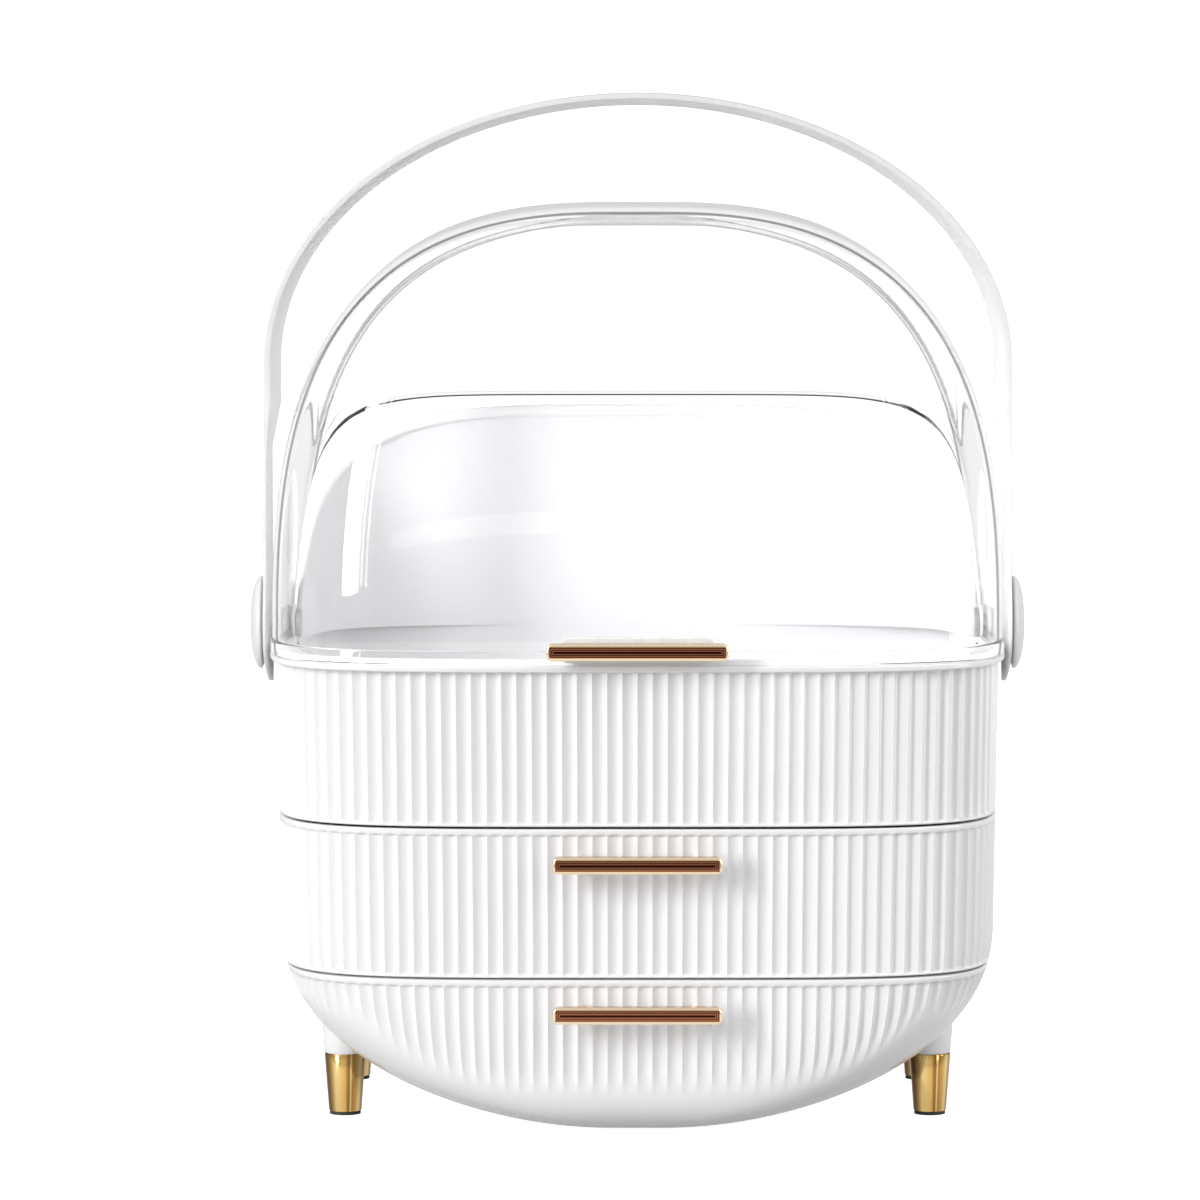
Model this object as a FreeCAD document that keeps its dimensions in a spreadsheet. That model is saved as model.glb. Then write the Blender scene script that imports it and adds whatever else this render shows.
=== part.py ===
import FreeCAD, Part
import bisect
import itertools
import math
import os
import Sketcher
from FreeCAD import Placement, Rotation, Vector

os.makedirs("parts", exist_ok=True)
doc = FreeCAD.newDocument("vanity_case")
sheet = doc.addObject("Spreadsheet::Sheet", "Sizes")

# Driving dimensions in millimetres. X is the width, Y runs from front to back, Z is up.
# Heights are above the surface that the feet stand on, and depths are from the pivot plane.
SIZES = [
    ("case_width", 286.6, "width of the body just under the rim"),
    ("case_depth", 210.0, "depth of the body just under the rim"),
    ("front_power", 4.6, "roundness of the front corners in plan, a superellipse power"),
    ("rear_power", 7.0, "roundness of the rear corners in plan"),
    ("case_wall", 2.5, "moulded wall of the body"),
    ("side_draft", 1.6, "how much each side leans in between the rim and the bowl"),
    ("bowl_top", 79.0, "height where the straight sides turn into the bowl"),
    ("belly_height", 2.2, "clearance of the belly above the floor"),
    ("bowl_width_power", 2.15, "roundness of the bowl seen from the front"),
    ("bowl_depth_power", 9.0, "roundness of the bowl seen from the side"),
    ("flute_pitch", 5.8, "width of an upright flute, fitted to a whole number round the body"),
    ("flute_depth", 1.2, "depth of a flute between its arrises"),
    ("flute_start", 17.0, "height where the flutes run out on the bowl"),
    ("flute_full", 31.0, "height where they have their full depth"),
    ("lower_seam", 65.0, "height of the seam between the drawers"),
    ("upper_seam", 124.2, "height of the seam above the upper drawer"),
    ("seam_gap", 0.9, "open width of a seam"),
    ("side_seam", 42.0, "side seam of the drawer fronts, in front of the pivot plane"),
    ("rim_height", 187.5, "top of the lip"),
    ("lip_thick", 2.5, "thickness of the lip"),
    ("lip_reach", 2.4, "how far the lip stands proud of the body"),
    ("bin_floor", 2.8, "floor of the upper compartment"),
    ("skirt_depth", 5.0, "skirt of the upper compartment inside the lower body"),
    ("skirt_wall", 1.7, "wall of that skirt"),
    ("skirt_seat", 1.0, "width of the lower body's top edge that carries the compartment"),
    ("slip", 0.3, "clearance between parts that slide in or drop in"),
    ("seat_room", 0.1, "room around parts that are pressed or laid in"),
    ("collar_step", 1.3, "how far the collar stands in from the body's side"),
    ("collar_seat", 9.5, "depth of the collar in the mouth of the compartment"),
    ("collar_wall", 2.4, "wall of the collar and its raised back"),
    ("collar_rise", 2.5, "upstand of the collar above the lip"),
    ("back_rise", 152.0, "height over the rim at which the raised back would close"),
    ("back_power", 4.2, "roundness of the raised back's corners, inside the turning lid"),
    ("pivot_rise", 7.7, "height of the pivots of lid and handle over the lip"),
    ("slope_angle", 42.7, "slope of the edge where lid and raised back meet, degrees"),
    ("lid_rise", 175.0, "height of the dome over its lower edge"),
    ("lid_wall", 2.4, "wall of the dome"),
    ("lid_room", 0.6, "gap between the collar and the inside of the dome"),
    ("lid_lift", 0.4, "gap between the lip and the lower edge of the dome"),
    ("dome_width_power", 2.85, "roundness of the dome seen from the front"),
    ("dome_depth_power", 4.6, "roundness of the dome seen from the side"),
    ("flange_height", 5.4, "band along the edge of the dome"),
    ("flange_reach", 0.7, "how far that band stands proud of the dome"),
    ("handle_depth", 22.0, "width of the handle strip from front to back"),
    ("handle_top", 407.2, "top of the handle"),
    ("handle_spring", 300.0, "height where the legs turn into the arch"),
    ("grip_thick", 5.0, "thickness at the top of the arch"),
    ("leg_thick", 7.0, "thickness of the legs beside the dome"),
    ("ear_thick", 3.4, "thickness of the round ears at the pivots"),
    ("ear_radius", 23.6, "radius of the ears"),
    ("neck_height", 14.6, "height over the pivots where the ears start to narrow"),
    ("neck_width", 36.8, "width of the ears there"),
    ("taper_drop", 16.0, "height under the arch where the leg has its full thickness"),
    ("taper_length", 18.0, "length over which the leg thickens"),
    ("pin_radius", 3.0, "radius of the pivot pins"),
    ("pin_fit", 0.06, "running clearance on the pins"),
    ("pin_head_radius", 6.0, "radius of the head inside the collar"),
    ("pin_head", 1.8, "thickness of that head"),
    ("washer_radius", 7.0, "radius of the washers between dome and handle"),
    ("washer_thick", 1.0, "thickness of the washers"),
    ("washer_room", 0.6, "room around the washers in the dome's band"),
    ("cap_radius", 18.6, "radius of the pivot caps"),
    ("cap_edge", 1.3, "thickness of a cap at its edge"),
    ("cap_dome", 4.0, "rise of a cap over its edge"),
    ("cap_socket", 3.0, "depth of the socket that takes the pin"),
    ("pull_length", 66.0, "length of a drawer pull"),
    ("lid_pull_length", 70.6, "length of the lid pull"),
    ("pull_height", 6.8, "height of a pull bar"),
    ("pull_depth", 4.6, "thickness of a pull bar"),
    ("pull_corner", 2.6, "corner radius of a pull bar"),
    ("pull_round", 1.5, "rounding of its front edges"),
    ("pull_stand", 13.0, "how far the pulls' faces stand in front of the body"),
    ("post_radius", 2.4, "radius of the posts behind a pull"),
    ("post_spacing", 44.0, "distance between the posts"),
    ("upper_pull_drop", 13.1, "upper drawer's pull under the upper seam"),
    ("lower_pull_drop", 12.3, "lower drawer's pull under the lower seam"),
    ("lid_pull_rise", 6.3, "lid's pull over the lip"),
    ("plate_length", 59.6, "length of the plate behind the lid's pull"),
    ("plate_height", 9.7, "height of that plate"),
    ("plate_thick", 2.0, "thickness of that plate"),
    ("screw_radius", 1.3, "radius of the screws"),
    ("screw_head", 2.2, "radius of the screw heads"),
    ("head_room", 0.2, "room around a screw head in its recess"),
    ("screw_head_thick", 1.6, "thickness of the screw heads"),
    ("tray_wall", 2.0, "wall of the drawer trays"),
    ("tray_room", 0.5, "room between a tray and what it stands beside"),
    ("boss_wall", 1.4, "wall of the screw bosses on the lower tray"),
    ("boss_length", 12.0, "length of those bosses"),
    ("upper_tray_side", 13.3, "upper tray's side inside the body's side"),
    ("upper_tray_back", 13.5, "upper tray's rear in front of the body's rear"),
    ("upper_tray_drop", 6.7, "upper tray's edge under the upper seam"),
    ("lower_tray_side", 22.3, "lower tray's side inside the body's side"),
    ("lower_tray_front", 7.0, "lower tray's front behind the body's front"),
    ("lower_tray_back", 10.0, "lower tray's rear in front of the body's rear"),
    ("lower_tray_drop", 7.0, "lower tray's edge under the lower seam"),
    ("lower_tray_floor", 9.0, "lowest point of the lower tray"),
    ("tray_flange", 5.3, "reach of the runner flange on the lower tray"),
    ("flange_thick", 2.0, "thickness of that flange"),
    ("shelf_side", 6.8, "side of the shelf between the drawers, inside the body's side"),
    ("shelf_front", 6.5, "front of the shelf behind the body's front"),
    ("shelf_back", 4.5, "rear of the shelf in front of the body's rear"),
    ("shelf_thick", 2.5, "thickness of the shelf"),
    ("rail_wall", 1.6, "wall of the rails under the shelf and of the fences on it"),
    ("rail_lip", 4.7, "reach of the rails' lips under the flanges"),
    ("rail_front", 58.0, "front end of the rails"),
    ("rail_rear", 72.0, "rear end of the rails"),
    ("fence_height", 6.0, "height of the side fences on the shelf"),
    ("ledge_width", 6.5, "ledge inside the body that carries the shelf"),
    ("ledge_thick", 2.5, "thickness of that ledge"),
    ("post_wall", 3.8, "radius of the screw posts inside the body"),
    ("side_post", 36.0, "side posts in front of the pivot plane"),
    ("rear_post", 60.0, "rear posts to each side of the middle"),
    ("foot_inset", 26.3, "feet inside the body's sides"),
    ("foot_front", 25.0, "front feet in front of the pivot plane"),
    ("foot_rear", 66.0, "rear feet behind the pivot plane"),
    ("foot_top_radius", 8.2, "radius of a foot tip where it meets its stub"),
    ("foot_end_radius", 6.55, "radius of a foot tip at its lower end"),
    ("foot_joint", 24.6, "height where tip and stub meet"),
    ("stub_length", 18.4, "length of a stub up to inside the wall"),
    ("stub_radius", 9.4, "radius of a stub where it enters the bowl"),
    ("pad_thick", 1.2, "thickness of the rubber pads"),
    ("pad_inset", 0.35, "how far a pad's edge stands in from the tip's edge"),
    ("foot_screw_length", 30.0, "length of the foot screws under the head"),
]
for row, (name, value, note) in enumerate(SIZES, 1):
    sheet.set(f"A{row}", name)
    sheet.set(f"B{row}", str(value))
    sheet.setAlias(f"B{row}", name)
    sheet.set(f"C{row}", note)
doc.recompute()

OUTLINE_POINTS = 48
BOWL_LEVELS = (0.0, 0.13, 0.27, 0.42, 0.56, 0.69, 0.8, 0.89, 0.95, 0.985)
DOME_LEVELS = (0.0, 0.2, 0.4, 0.57, 0.71, 0.82, 0.905, 0.96, 0.99)
# Steps round the outline when its length is measured.
FINE_STEPS = 20000
FAR = 600.0
# How far a cutting form runs past the face that it cuts, so that no skin is left.
PAST = 1.0
SIDES = (("left", -1), ("right", 1))
ENDS = (("front", -1), ("rear", 1))


def size(name):
    """The value of one driving dimension."""
    return float(sheet.get(name))


# The origin lies under the middle of the whole object, between the pulls and the rear lip.
MIDDLE_SHIFT = (size("pull_stand") - size("lip_reach")) / 2
SHIFT_TEXT = "(Sizes.pull_stand - Sizes.lip_reach) / 2"
HALF_WIDTH = size("case_width") / 2
HALF_DEPTH = size("case_depth") / 2
LIP_BOTTOM = size("rim_height") - size("lip_thick")
WALL = size("case_wall")
SLIP = size("slip")
PIVOT = size("rim_height") + size("pivot_rise")
LID_EDGE = size("rim_height") + size("lid_lift")
SHELF_BOTTOM = size("lower_seam") - size("shelf_thick") / 2
SHELF_TOP = SHELF_BOTTOM + size("shelf_thick")
UPPER_PULL = size("upper_seam") - size("upper_pull_drop")
LOWER_PULL = size("lower_seam") - size("lower_pull_drop")
LID_PULL = size("rim_height") + size("lid_pull_rise")
PULL_FACE = HALF_DEPTH + size("pull_stand")
UPPER_TRAY_HALF = HALF_WIDTH - size("upper_tray_side")
LOWER_TRAY_HALF = HALF_WIDTH - size("lower_tray_side")
LOWER_TRAY_TOP = size("lower_seam") - size("lower_tray_drop")
# How deep the screw posts stand inside the outer face of the body at the shelf.
POST_COVER = 0.4
POST_REAR_COVER = 1.6
SCREW_BITE = 10.0


# ---- outlines and solids that several parts share -------------------------------------------

def outline(half_width, front, rear, height, behind_power="rear_power"):
    """A closed plan curve: one superellipse in front of the pivot plane, another behind it."""
    points = []
    for step in range(OUTLINE_POINTS):
        angle = 2 * math.pi * step / OUTLINE_POINTS
        across, along = math.cos(angle), math.sin(angle)
        behind = along > 0
        power = size(behind_power if behind else "front_power")
        reach = (abs(across) ** power + abs(along) ** power) ** (-1 / power)
        points.append(Vector(half_width * reach * across,
                             (rear if behind else front) * reach * along, height))
    curve = Part.BSplineCurve()
    # The same even spacing in every outline keeps the surfaces between them smooth.
    steps = [step / OUTLINE_POINTS for step in range(OUTLINE_POINTS + 1)]
    curve.interpolate(Points=points, PeriodicFlag=True, Parameters=steps)
    return Part.Wire([curve.toShape()])


def prism(half_width, front, rear, low, high):
    """An upright solid with that plan."""
    face = Part.Face(outline(half_width, front, rear, low))
    return face.extrude(Vector(0, 0, high - low))


def side_inset(height):
    """How far the body's side at a height stands in from its widest place under the rim."""
    if height >= LIP_BOTTOM:
        return 0.0
    reach = LIP_BOTTOM - size("bowl_top")
    return size("side_draft") * min(1.0, (LIP_BOTTOM - height) / reach)


def body_outline(height, inset):
    """The plan of the body at a height above the bowl, moved inwards by inset."""
    less = side_inset(height) + inset
    return outline(HALF_WIDTH - less, HALF_DEPTH - less, HALF_DEPTH - less, height)


def superellipse_shares(level, across_power, along_power):
    """How much of its width and of its depth a rounded form still has at a level from 0 to 1."""
    return ((1 - level ** across_power) ** (1 / across_power),
            (1 - level ** along_power) ** (1 / along_power))


def bowl_shares(height):
    """The same for the body's bowl at a height."""
    level = max(0.0, size("bowl_top") - height) / (size("bowl_top") - size("belly_height"))
    return superellipse_shares(level, size("bowl_width_power"), size("bowl_depth_power"))


def bowl_outlines(half_width, front, rear, top, bottom):
    """Plans of a bowl from its top down to its belly."""
    wires = []
    for level in BOWL_LEVELS:
        narrow, shallow = superellipse_shares(level, size("bowl_width_power"),
                                              size("bowl_depth_power"))
        wires.append(outline(half_width * narrow, front * shallow, rear * shallow,
                             top - level * (top - bottom)))
    return wires


def lower_body(inset, top):
    """The solid inside the lower body's outer face moved inwards by inset, up to a height."""
    turn = size("bowl_top")
    less = size("side_draft") + inset
    straight = Part.makeLoft([body_outline(turn, inset), body_outline(top, inset)], True, True)
    wires = bowl_outlines(HALF_WIDTH - less, HALF_DEPTH - less, HALF_DEPTH - less,
                          turn, size("belly_height") + inset)
    return straight.fuse(Part.makeLoft(wires[::-1], True, False))


def plan_point(turn):
    """The place on a plan of half width and half depth 1, at a turn from the middle in front."""
    across, along = math.sin(turn), -math.cos(turn)
    power = size("rear_power" if along > 0 else "front_power")
    reach = (abs(across) ** power + abs(along) ** power) ** (-1 / power)
    return reach * across, reach * along


def flute_turns():
    """Turns of the flutes' arrises and middles, evenly spaced along the body's outline."""
    turns = [2 * math.pi * step / FINE_STEPS for step in range(FINE_STEPS + 1)]
    places = [(HALF_WIDTH * x, HALF_DEPTH * y) for x, y in map(plan_point, turns)]
    steps = [math.dist(a, b) for a, b in zip(places, places[1:])]
    lengths = [0.0, *itertools.accumulate(steps)]
    count = round(lengths[-1] / size("flute_pitch"))
    half_flute = lengths[-1] / (2 * count)
    return [turns[bisect.bisect_left(lengths, half_flute * place)] for place in range(2 * count)]


FLUTE_PLACES = [plan_point(turn) for turn in flute_turns()]


def fluted_outline(half_width, half_depth, height):
    """A plan edged by shallow hollows that meet in arrises and run out low on the bowl."""
    climb = (height - size("flute_start")) / (size("flute_full") - size("flute_start"))
    climb = min(1.0, max(0.0, climb))
    depth = size("flute_depth") * climb * climb * (3 - 2 * climb)
    points = []
    for place, (x, y) in enumerate(FLUTE_PLACES):
        less = depth if place % 2 else 0.0
        points.append(Vector((half_width - less) * x, (half_depth - less) * y, height))
    edges = []
    for start, middle, end in zip(points[::2], points[1::2], points[2::2] + points[:1]):
        curve = Part.BezierCurve()
        curve.setPoles([start, middle * 2 - (start + end) * 0.5, end])
        edges.append(curve.toShape())
    return Part.Wire(edges)


def fluted_plan(height):
    """The body's fluted plan at a height above the bowl."""
    less = side_inset(height)
    return fluted_outline(HALF_WIDTH - less, HALF_DEPTH - less, height)


def fluted_body(top):
    """The solid inside the lower body's fluted outer face, up to a height."""
    less = size("side_draft")
    wires = []
    for level in BOWL_LEVELS[::-1]:
        narrow, shallow = superellipse_shares(level, size("bowl_width_power"),
                                              size("bowl_depth_power"))
        height = size("bowl_top") - level * (size("bowl_top") - size("belly_height"))
        wires.append(fluted_outline((HALF_WIDTH - less) * narrow, (HALF_DEPTH - less) * shallow,
                                    height))
    return Part.makeLoft(wires + [fluted_plan(top)], True, True)


def dome(half_width, depth, base, rise, behind_power="rear_power"):
    """A dome whose plans shrink by one superellipse across and another from front to back."""
    wires = []
    for level in DOME_LEVELS:
        narrow, shallow = superellipse_shares(level, size("dome_width_power"),
                                              size("dome_depth_power"))
        wires.append(outline(half_width * narrow, depth * shallow, depth * shallow,
                             base + level * rise, behind_power))
    return Part.makeLoft(wires, True, False)


def block(x_low, x_high, y_low, y_high, z_low, z_high):
    """A box between two corners."""
    return Part.makeBox(x_high - x_low, y_high - y_low, z_high - z_low,
                        Vector(x_low, y_low, z_low))


def side_face(points):
    """A flat face in the pivot plane's cross direction, from points given as (y, z)."""
    corners = [Vector(-FAR, y, z) for y, z in points]
    return Part.Face(Part.makePolygon(corners + corners[:1]))


def above_edge(inset):
    """The space over the dome's edge: flat in front, round under the pivot, sloped behind."""
    slope = math.radians(size("slope_angle"))
    radius = PIVOT - LID_EDGE - inset
    low = PIVOT - radius
    touch = Vector(-FAR, radius * math.sin(slope), PIVOT - radius * math.cos(slope))
    half = slope / 2
    middle = Vector(-FAR, radius * math.sin(half), PIVOT - radius * math.cos(half))
    start = Vector(-FAR, 0, low)
    far_up = touch + Vector(0, FAR * math.cos(slope), FAR * math.sin(slope))
    corners = [far_up, Vector(-FAR, far_up.y, 2 * FAR), Vector(-FAR, -FAR, 2 * FAR),
               Vector(-FAR, -FAR, low), start]
    edges = [Part.Arc(start, middle, touch).toShape(), Part.LineSegment(touch, far_up).toShape()]
    edges += [Part.LineSegment(a, b).toShape() for a, b in zip(corners, corners[1:])]
    return Part.Face(Part.Wire(edges)).extrude(Vector(2 * FAR, 0, 0))


def cross_bore(radius):
    """The bore along the pivot axis, through everything."""
    return Part.makeCylinder(radius, 2 * FAR, Vector(-FAR, 0, PIVOT), Vector(1, 0, 0))


def upright(radius, x, y, low, high):
    """A round post."""
    return Part.makeCylinder(radius, high - low, Vector(x, y, low))


def publish(name, shape):
    """A finished piece, shown under its own name and moved to the object's origin."""
    piece = doc.addObject("Part::Feature", name)
    piece.Label = name
    piece.Shape = shape
    piece.Placement = Placement(Vector(0, MIDDLE_SHIFT, 0), Rotation())
    return piece


pieces = []


# ---- upper compartment ------------------------------------------------------------------------

BIN_BOTTOM = size("upper_seam") + size("seam_gap") / 2
BODY_TOP = size("upper_seam") - size("seam_gap") / 2
COLLAR_HALF = HALF_WIDTH - size("collar_step")
COLLAR_DEPTH = HALF_DEPTH - size("collar_step")
COLLAR_BOTTOM = size("rim_height") - size("collar_seat")
# Walls that grow out of another wall are this much thinner, so that no faces coincide.
LAP = 0.2


def screw_places():
    """Where screws tie the compartment to the posts of the lower body, as (x, y)."""
    narrow, shallow = bowl_shares(SHELF_TOP)
    side_x = (HALF_WIDTH - size("side_draft")) * narrow - POST_COVER - size("post_wall")
    rear_y = (HALF_DEPTH - size("side_draft")) * shallow - POST_REAR_COVER - size("post_wall")
    places = [(side * side_x, -size("side_post")) for _, side in SIDES]
    places += [(side * size("rear_post"), rear_y) for _, side in SIDES]
    return places


def make_upper_bin():
    """The fluted tub under the lid, with its lip, its floor and the skirt below it."""
    outer = Part.makeLoft([fluted_plan(BIN_BOTTOM), fluted_plan(LIP_BOTTOM)], True, True)
    reach = size("lip_reach")
    lip = prism(HALF_WIDTH + reach, HALF_DEPTH + reach, HALF_DEPTH + reach,
                LIP_BOTTOM, size("rim_height"))
    floor = BIN_BOTTOM + size("bin_floor")
    inside = COLLAR_HALF - size("collar_wall")
    inside_y = COLLAR_DEPTH - size("collar_wall")
    cavity = Part.makeLoft([outline(inside - side_inset(floor), inside_y - side_inset(floor),
                                    inside_y - side_inset(floor), floor),
                            outline(inside, inside_y, inside_y, size("rim_height") + PAST)],
                           True, True)
    room = size("seat_room")
    mouth = prism(COLLAR_HALF + room, COLLAR_DEPTH + room, COLLAR_DEPTH + room,
                  COLLAR_BOTTOM, size("rim_height") + PAST)
    tub = outer.fuse(lip).cut(cavity.fuse(mouth))
    wall_inset = side_inset(BODY_TOP) + WALL
    seat_inset = wall_inset - size("skirt_seat")
    seat = prism(HALF_WIDTH - seat_inset, HALF_DEPTH - seat_inset, HALF_DEPTH - seat_inset,
                 BODY_TOP, BIN_BOTTOM)
    plug = prism(HALF_WIDTH - wall_inset - SLIP, HALF_DEPTH - wall_inset - SLIP,
                 HALF_DEPTH - wall_inset - SLIP, BIN_BOTTOM - size("skirt_depth"), BIN_BOTTOM)
    hollow_inset = wall_inset + SLIP + size("skirt_wall")
    hollow = prism(HALF_WIDTH - hollow_inset, HALF_DEPTH - hollow_inset,
                   HALF_DEPTH - hollow_inset, 0, BIN_BOTTOM)
    behind_seam = block(-FAR, FAR, -size("side_seam") + size("seam_gap"), FAR, 0, FAR)
    skirt = seat.fuse(plug).cut(hollow).common(behind_seam)
    rooms = [upright(size("post_wall") + SLIP, x, y, 0, BIN_BOTTOM) for x, y in screw_places()]
    bores = [upright(size("screw_radius"), x, y, 0, FAR) for x, y in screw_places()]
    shape = tub.fuse(skirt.cut(Part.makeCompound(rooms)))
    return shape.cut(Part.makeCompound(bores))


def raised_back():
    """The white wall behind the dome, rounder at its corners so that the lid can turn past."""
    wall, base = size("collar_wall"), size("rim_height") - size("collar_wall") / 2
    rise = size("rim_height") + size("back_rise") - base
    outer = dome(COLLAR_HALF - LAP, COLLAR_DEPTH - LAP, base, rise, "back_power")
    inner_half, inner_depth = COLLAR_HALF - wall - LAP / 2, COLLAR_DEPTH - wall - LAP / 2
    inner = dome(inner_half, inner_depth, base, rise - wall, "back_power")
    back = outer.cut(inner).common(block(-FAR, FAR, -2 * LAP, FAR, base, FAR))
    return back.cut(above_edge(-size("lid_lift")))


def corner_web():
    """The web that fills the collar's sharper rear corners, under the raised back."""
    wall, rim = size("collar_wall"), size("rim_height")
    web = prism(COLLAR_HALF - LAP, COLLAR_DEPTH - LAP, COLLAR_DEPTH - LAP, rim - wall, rim - LAP)
    hole = Part.Face(outline(COLLAR_HALF - wall + LAP, COLLAR_DEPTH - wall + LAP,
                             COLLAR_DEPTH - wall + LAP, 0, "back_power"))
    web = web.cut(hole.extrude(Vector(0, 0, FAR)))
    return web.common(block(-FAR, FAR, LAP, FAR, 0, FAR))


def make_rear_shield():
    """The collar in the compartment's mouth, with its raised back and the two pivot ears."""
    wall, rim = size("collar_wall"), size("rim_height")
    inner_half, inner_depth = COLLAR_HALF - wall, COLLAR_DEPTH - wall
    top = rim + size("collar_rise")
    ring = prism(COLLAR_HALF, COLLAR_DEPTH, COLLAR_DEPTH, COLLAR_BOTTOM, top)
    ring = ring.cut(prism(inner_half, inner_depth, inner_depth, COLLAR_BOTTOM - PAST, top + PAST))
    ring = ring.cut(block(-FAR, FAR, 0, FAR, rim, FAR))
    shape = ring.fuse(corner_web()).fuse(raised_back())
    ear = PIVOT - LID_EDGE
    for _, side in SIDES:
        low, high = sorted((side * (inner_half + 2 * LAP), side * (COLLAR_HALF - 2 * LAP)))
        shape = shape.fuse(block(low, high, -ear, ear, rim - PAST, PIVOT))
        shape = shape.fuse(Part.makeCylinder(ear, high - low, Vector(low, 0, PIVOT),
                                             Vector(1, 0, 0)))
    return shape.cut(cross_bore(size("pin_radius")))


pieces.append(publish("upper_bin", make_upper_bin()))
pieces.append(publish("rear_shield", make_rear_shield()))


# ---- lower body, cut into the carcass and the two drawer fronts ----------------------------------

body_shell = fluted_body(BODY_TOP).cut(lower_body(WALL, BODY_TOP + PAST))
SEAM_HALF = size("seam_gap") / 2


def foot_places():
    """The four feet as (name, x, y)."""
    places = []
    for end, step in ENDS:
        depth = -size("foot_front") if step < 0 else size("foot_rear")
        for side_name, side in SIDES:
            places.append((f"{end}_{side_name}", side * (HALF_WIDTH - size("foot_inset")), depth))
    return places


def make_carcass():
    """The rear part of the lower body with shelf ledge, screw posts and foot stubs."""
    behind = block(-FAR, FAR, -size("side_seam") + SEAM_HALF, FAR, 0, FAR)
    shape = body_shell.common(behind)
    middle = SHELF_BOTTOM - size("ledge_thick") / 2
    narrow, shallow = bowl_shares(middle)
    half = (HALF_WIDTH - size("side_draft")) * narrow - WALL / 2
    depth = (HALF_DEPTH - size("side_draft")) * shallow - WALL / 2
    inwards = size("ledge_width") + WALL / 2
    low = SHELF_BOTTOM - size("ledge_thick")
    ledge = prism(half, depth, depth, low, SHELF_BOTTOM)
    ledge = ledge.cut(prism(half - inwards, depth - inwards, depth - inwards, low, SHELF_BOTTOM))
    added = [ledge.common(behind)]
    added += [upright(size("post_wall"), x, y, SHELF_TOP + SLIP, BIN_BOTTOM)
              for x, y in screw_places()]
    hollow = lower_body(WALL, BODY_TOP + PAST)
    for _, x, y in foot_places():
        stub = Part.makeCone(size("foot_top_radius"), size("stub_radius"),
                             size("stub_length"), Vector(x, y, size("foot_joint")))
        added.append(stub.cut(hollow))
    shape = shape.fuse(added)
    bores = [upright(size("screw_radius"), x, y, 0, size("pad_thick") + size("screw_head_thick")
                     + size("foot_screw_length")) for _, x, y in foot_places()]
    bores += [upright(size("screw_radius"), x, y, BIN_BOTTOM - SCREW_BITE, BIN_BOTTOM + PAST)
              for x, y in screw_places()]
    return shape.cut(Part.makeCompound(bores))


def front_part(low, high):
    """The part of the shell in front of the side seam, between two heights."""
    return body_shell.common(block(-FAR, FAR, -FAR, -size("side_seam") - SEAM_HALF, low, high))


def front_bores(shape, height):
    """A shape with bores for the two screws of a pull through its walls near the front."""
    bores = [Part.makeCylinder(size("screw_radius"), HALF_DEPTH / 2,
                               Vector(side * size("post_spacing") / 2, -PULL_FACE, height),
                               Vector(0, 1, 0)) for _, side in SIDES]
    return shape.cut(Part.makeCompound(bores))


def make_upper_tray():
    """The upper drawer's tray: a flat-bottomed box with the front's plan."""
    low = SHELF_TOP + SLIP
    half = UPPER_TRAY_HALF
    front = HALF_DEPTH - side_inset(low) - WALL - size("tray_room")
    rear, wall = HALF_DEPTH - size("upper_tray_back"), size("tray_wall")
    top = size("upper_seam") - size("upper_tray_drop")
    shape = prism(half, front, rear, low, top)
    shape = shape.cut(prism(half - wall, front - wall, rear - wall, low + wall, top))
    return front_bores(shape, UPPER_PULL)


def tray_bowl(inset):
    """The lower tray's outer face moved inwards by inset."""
    half = LOWER_TRAY_HALF - inset
    front = HALF_DEPTH - size("lower_tray_front") - inset
    rear = HALF_DEPTH - size("lower_tray_back") - inset
    top, bottom = LOWER_TRAY_TOP, size("lower_tray_floor") + inset
    wires = bowl_outlines(half, front, rear, top, bottom)
    return Part.makeLoft(wires[::-1], True, False)


def make_lower_tray():
    """The lower drawer's tray: a tub that follows the bowl, hung by its side flanges."""
    shape = tray_bowl(0)
    half = LOWER_TRAY_HALF
    under = LOWER_TRAY_TOP - size("flange_thick")
    for _, side in SIDES:
        near, far = sorted((side * (half - size("tray_wall")),
                            side * (half + size("tray_flange"))))
        flange = block(near, far, -size("rail_front"), size("rail_rear"), under,
                       LOWER_TRAY_TOP)
        shape = shape.fuse(flange)
    for _, side in SIDES:
        start = -HALF_DEPTH + side_inset(LOWER_PULL) + WALL + size("seat_room")
        boss = Part.makeCylinder(size("post_radius") + size("boss_wall"), size("boss_length"),
                                 Vector(side * size("post_spacing") / 2, start,
                                        LOWER_PULL), Vector(0, 1, 0))
        shape = shape.fuse(boss)
    return front_bores(shape.cut(tray_bowl(size("tray_wall"))), LOWER_PULL).removeSplitter()


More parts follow.
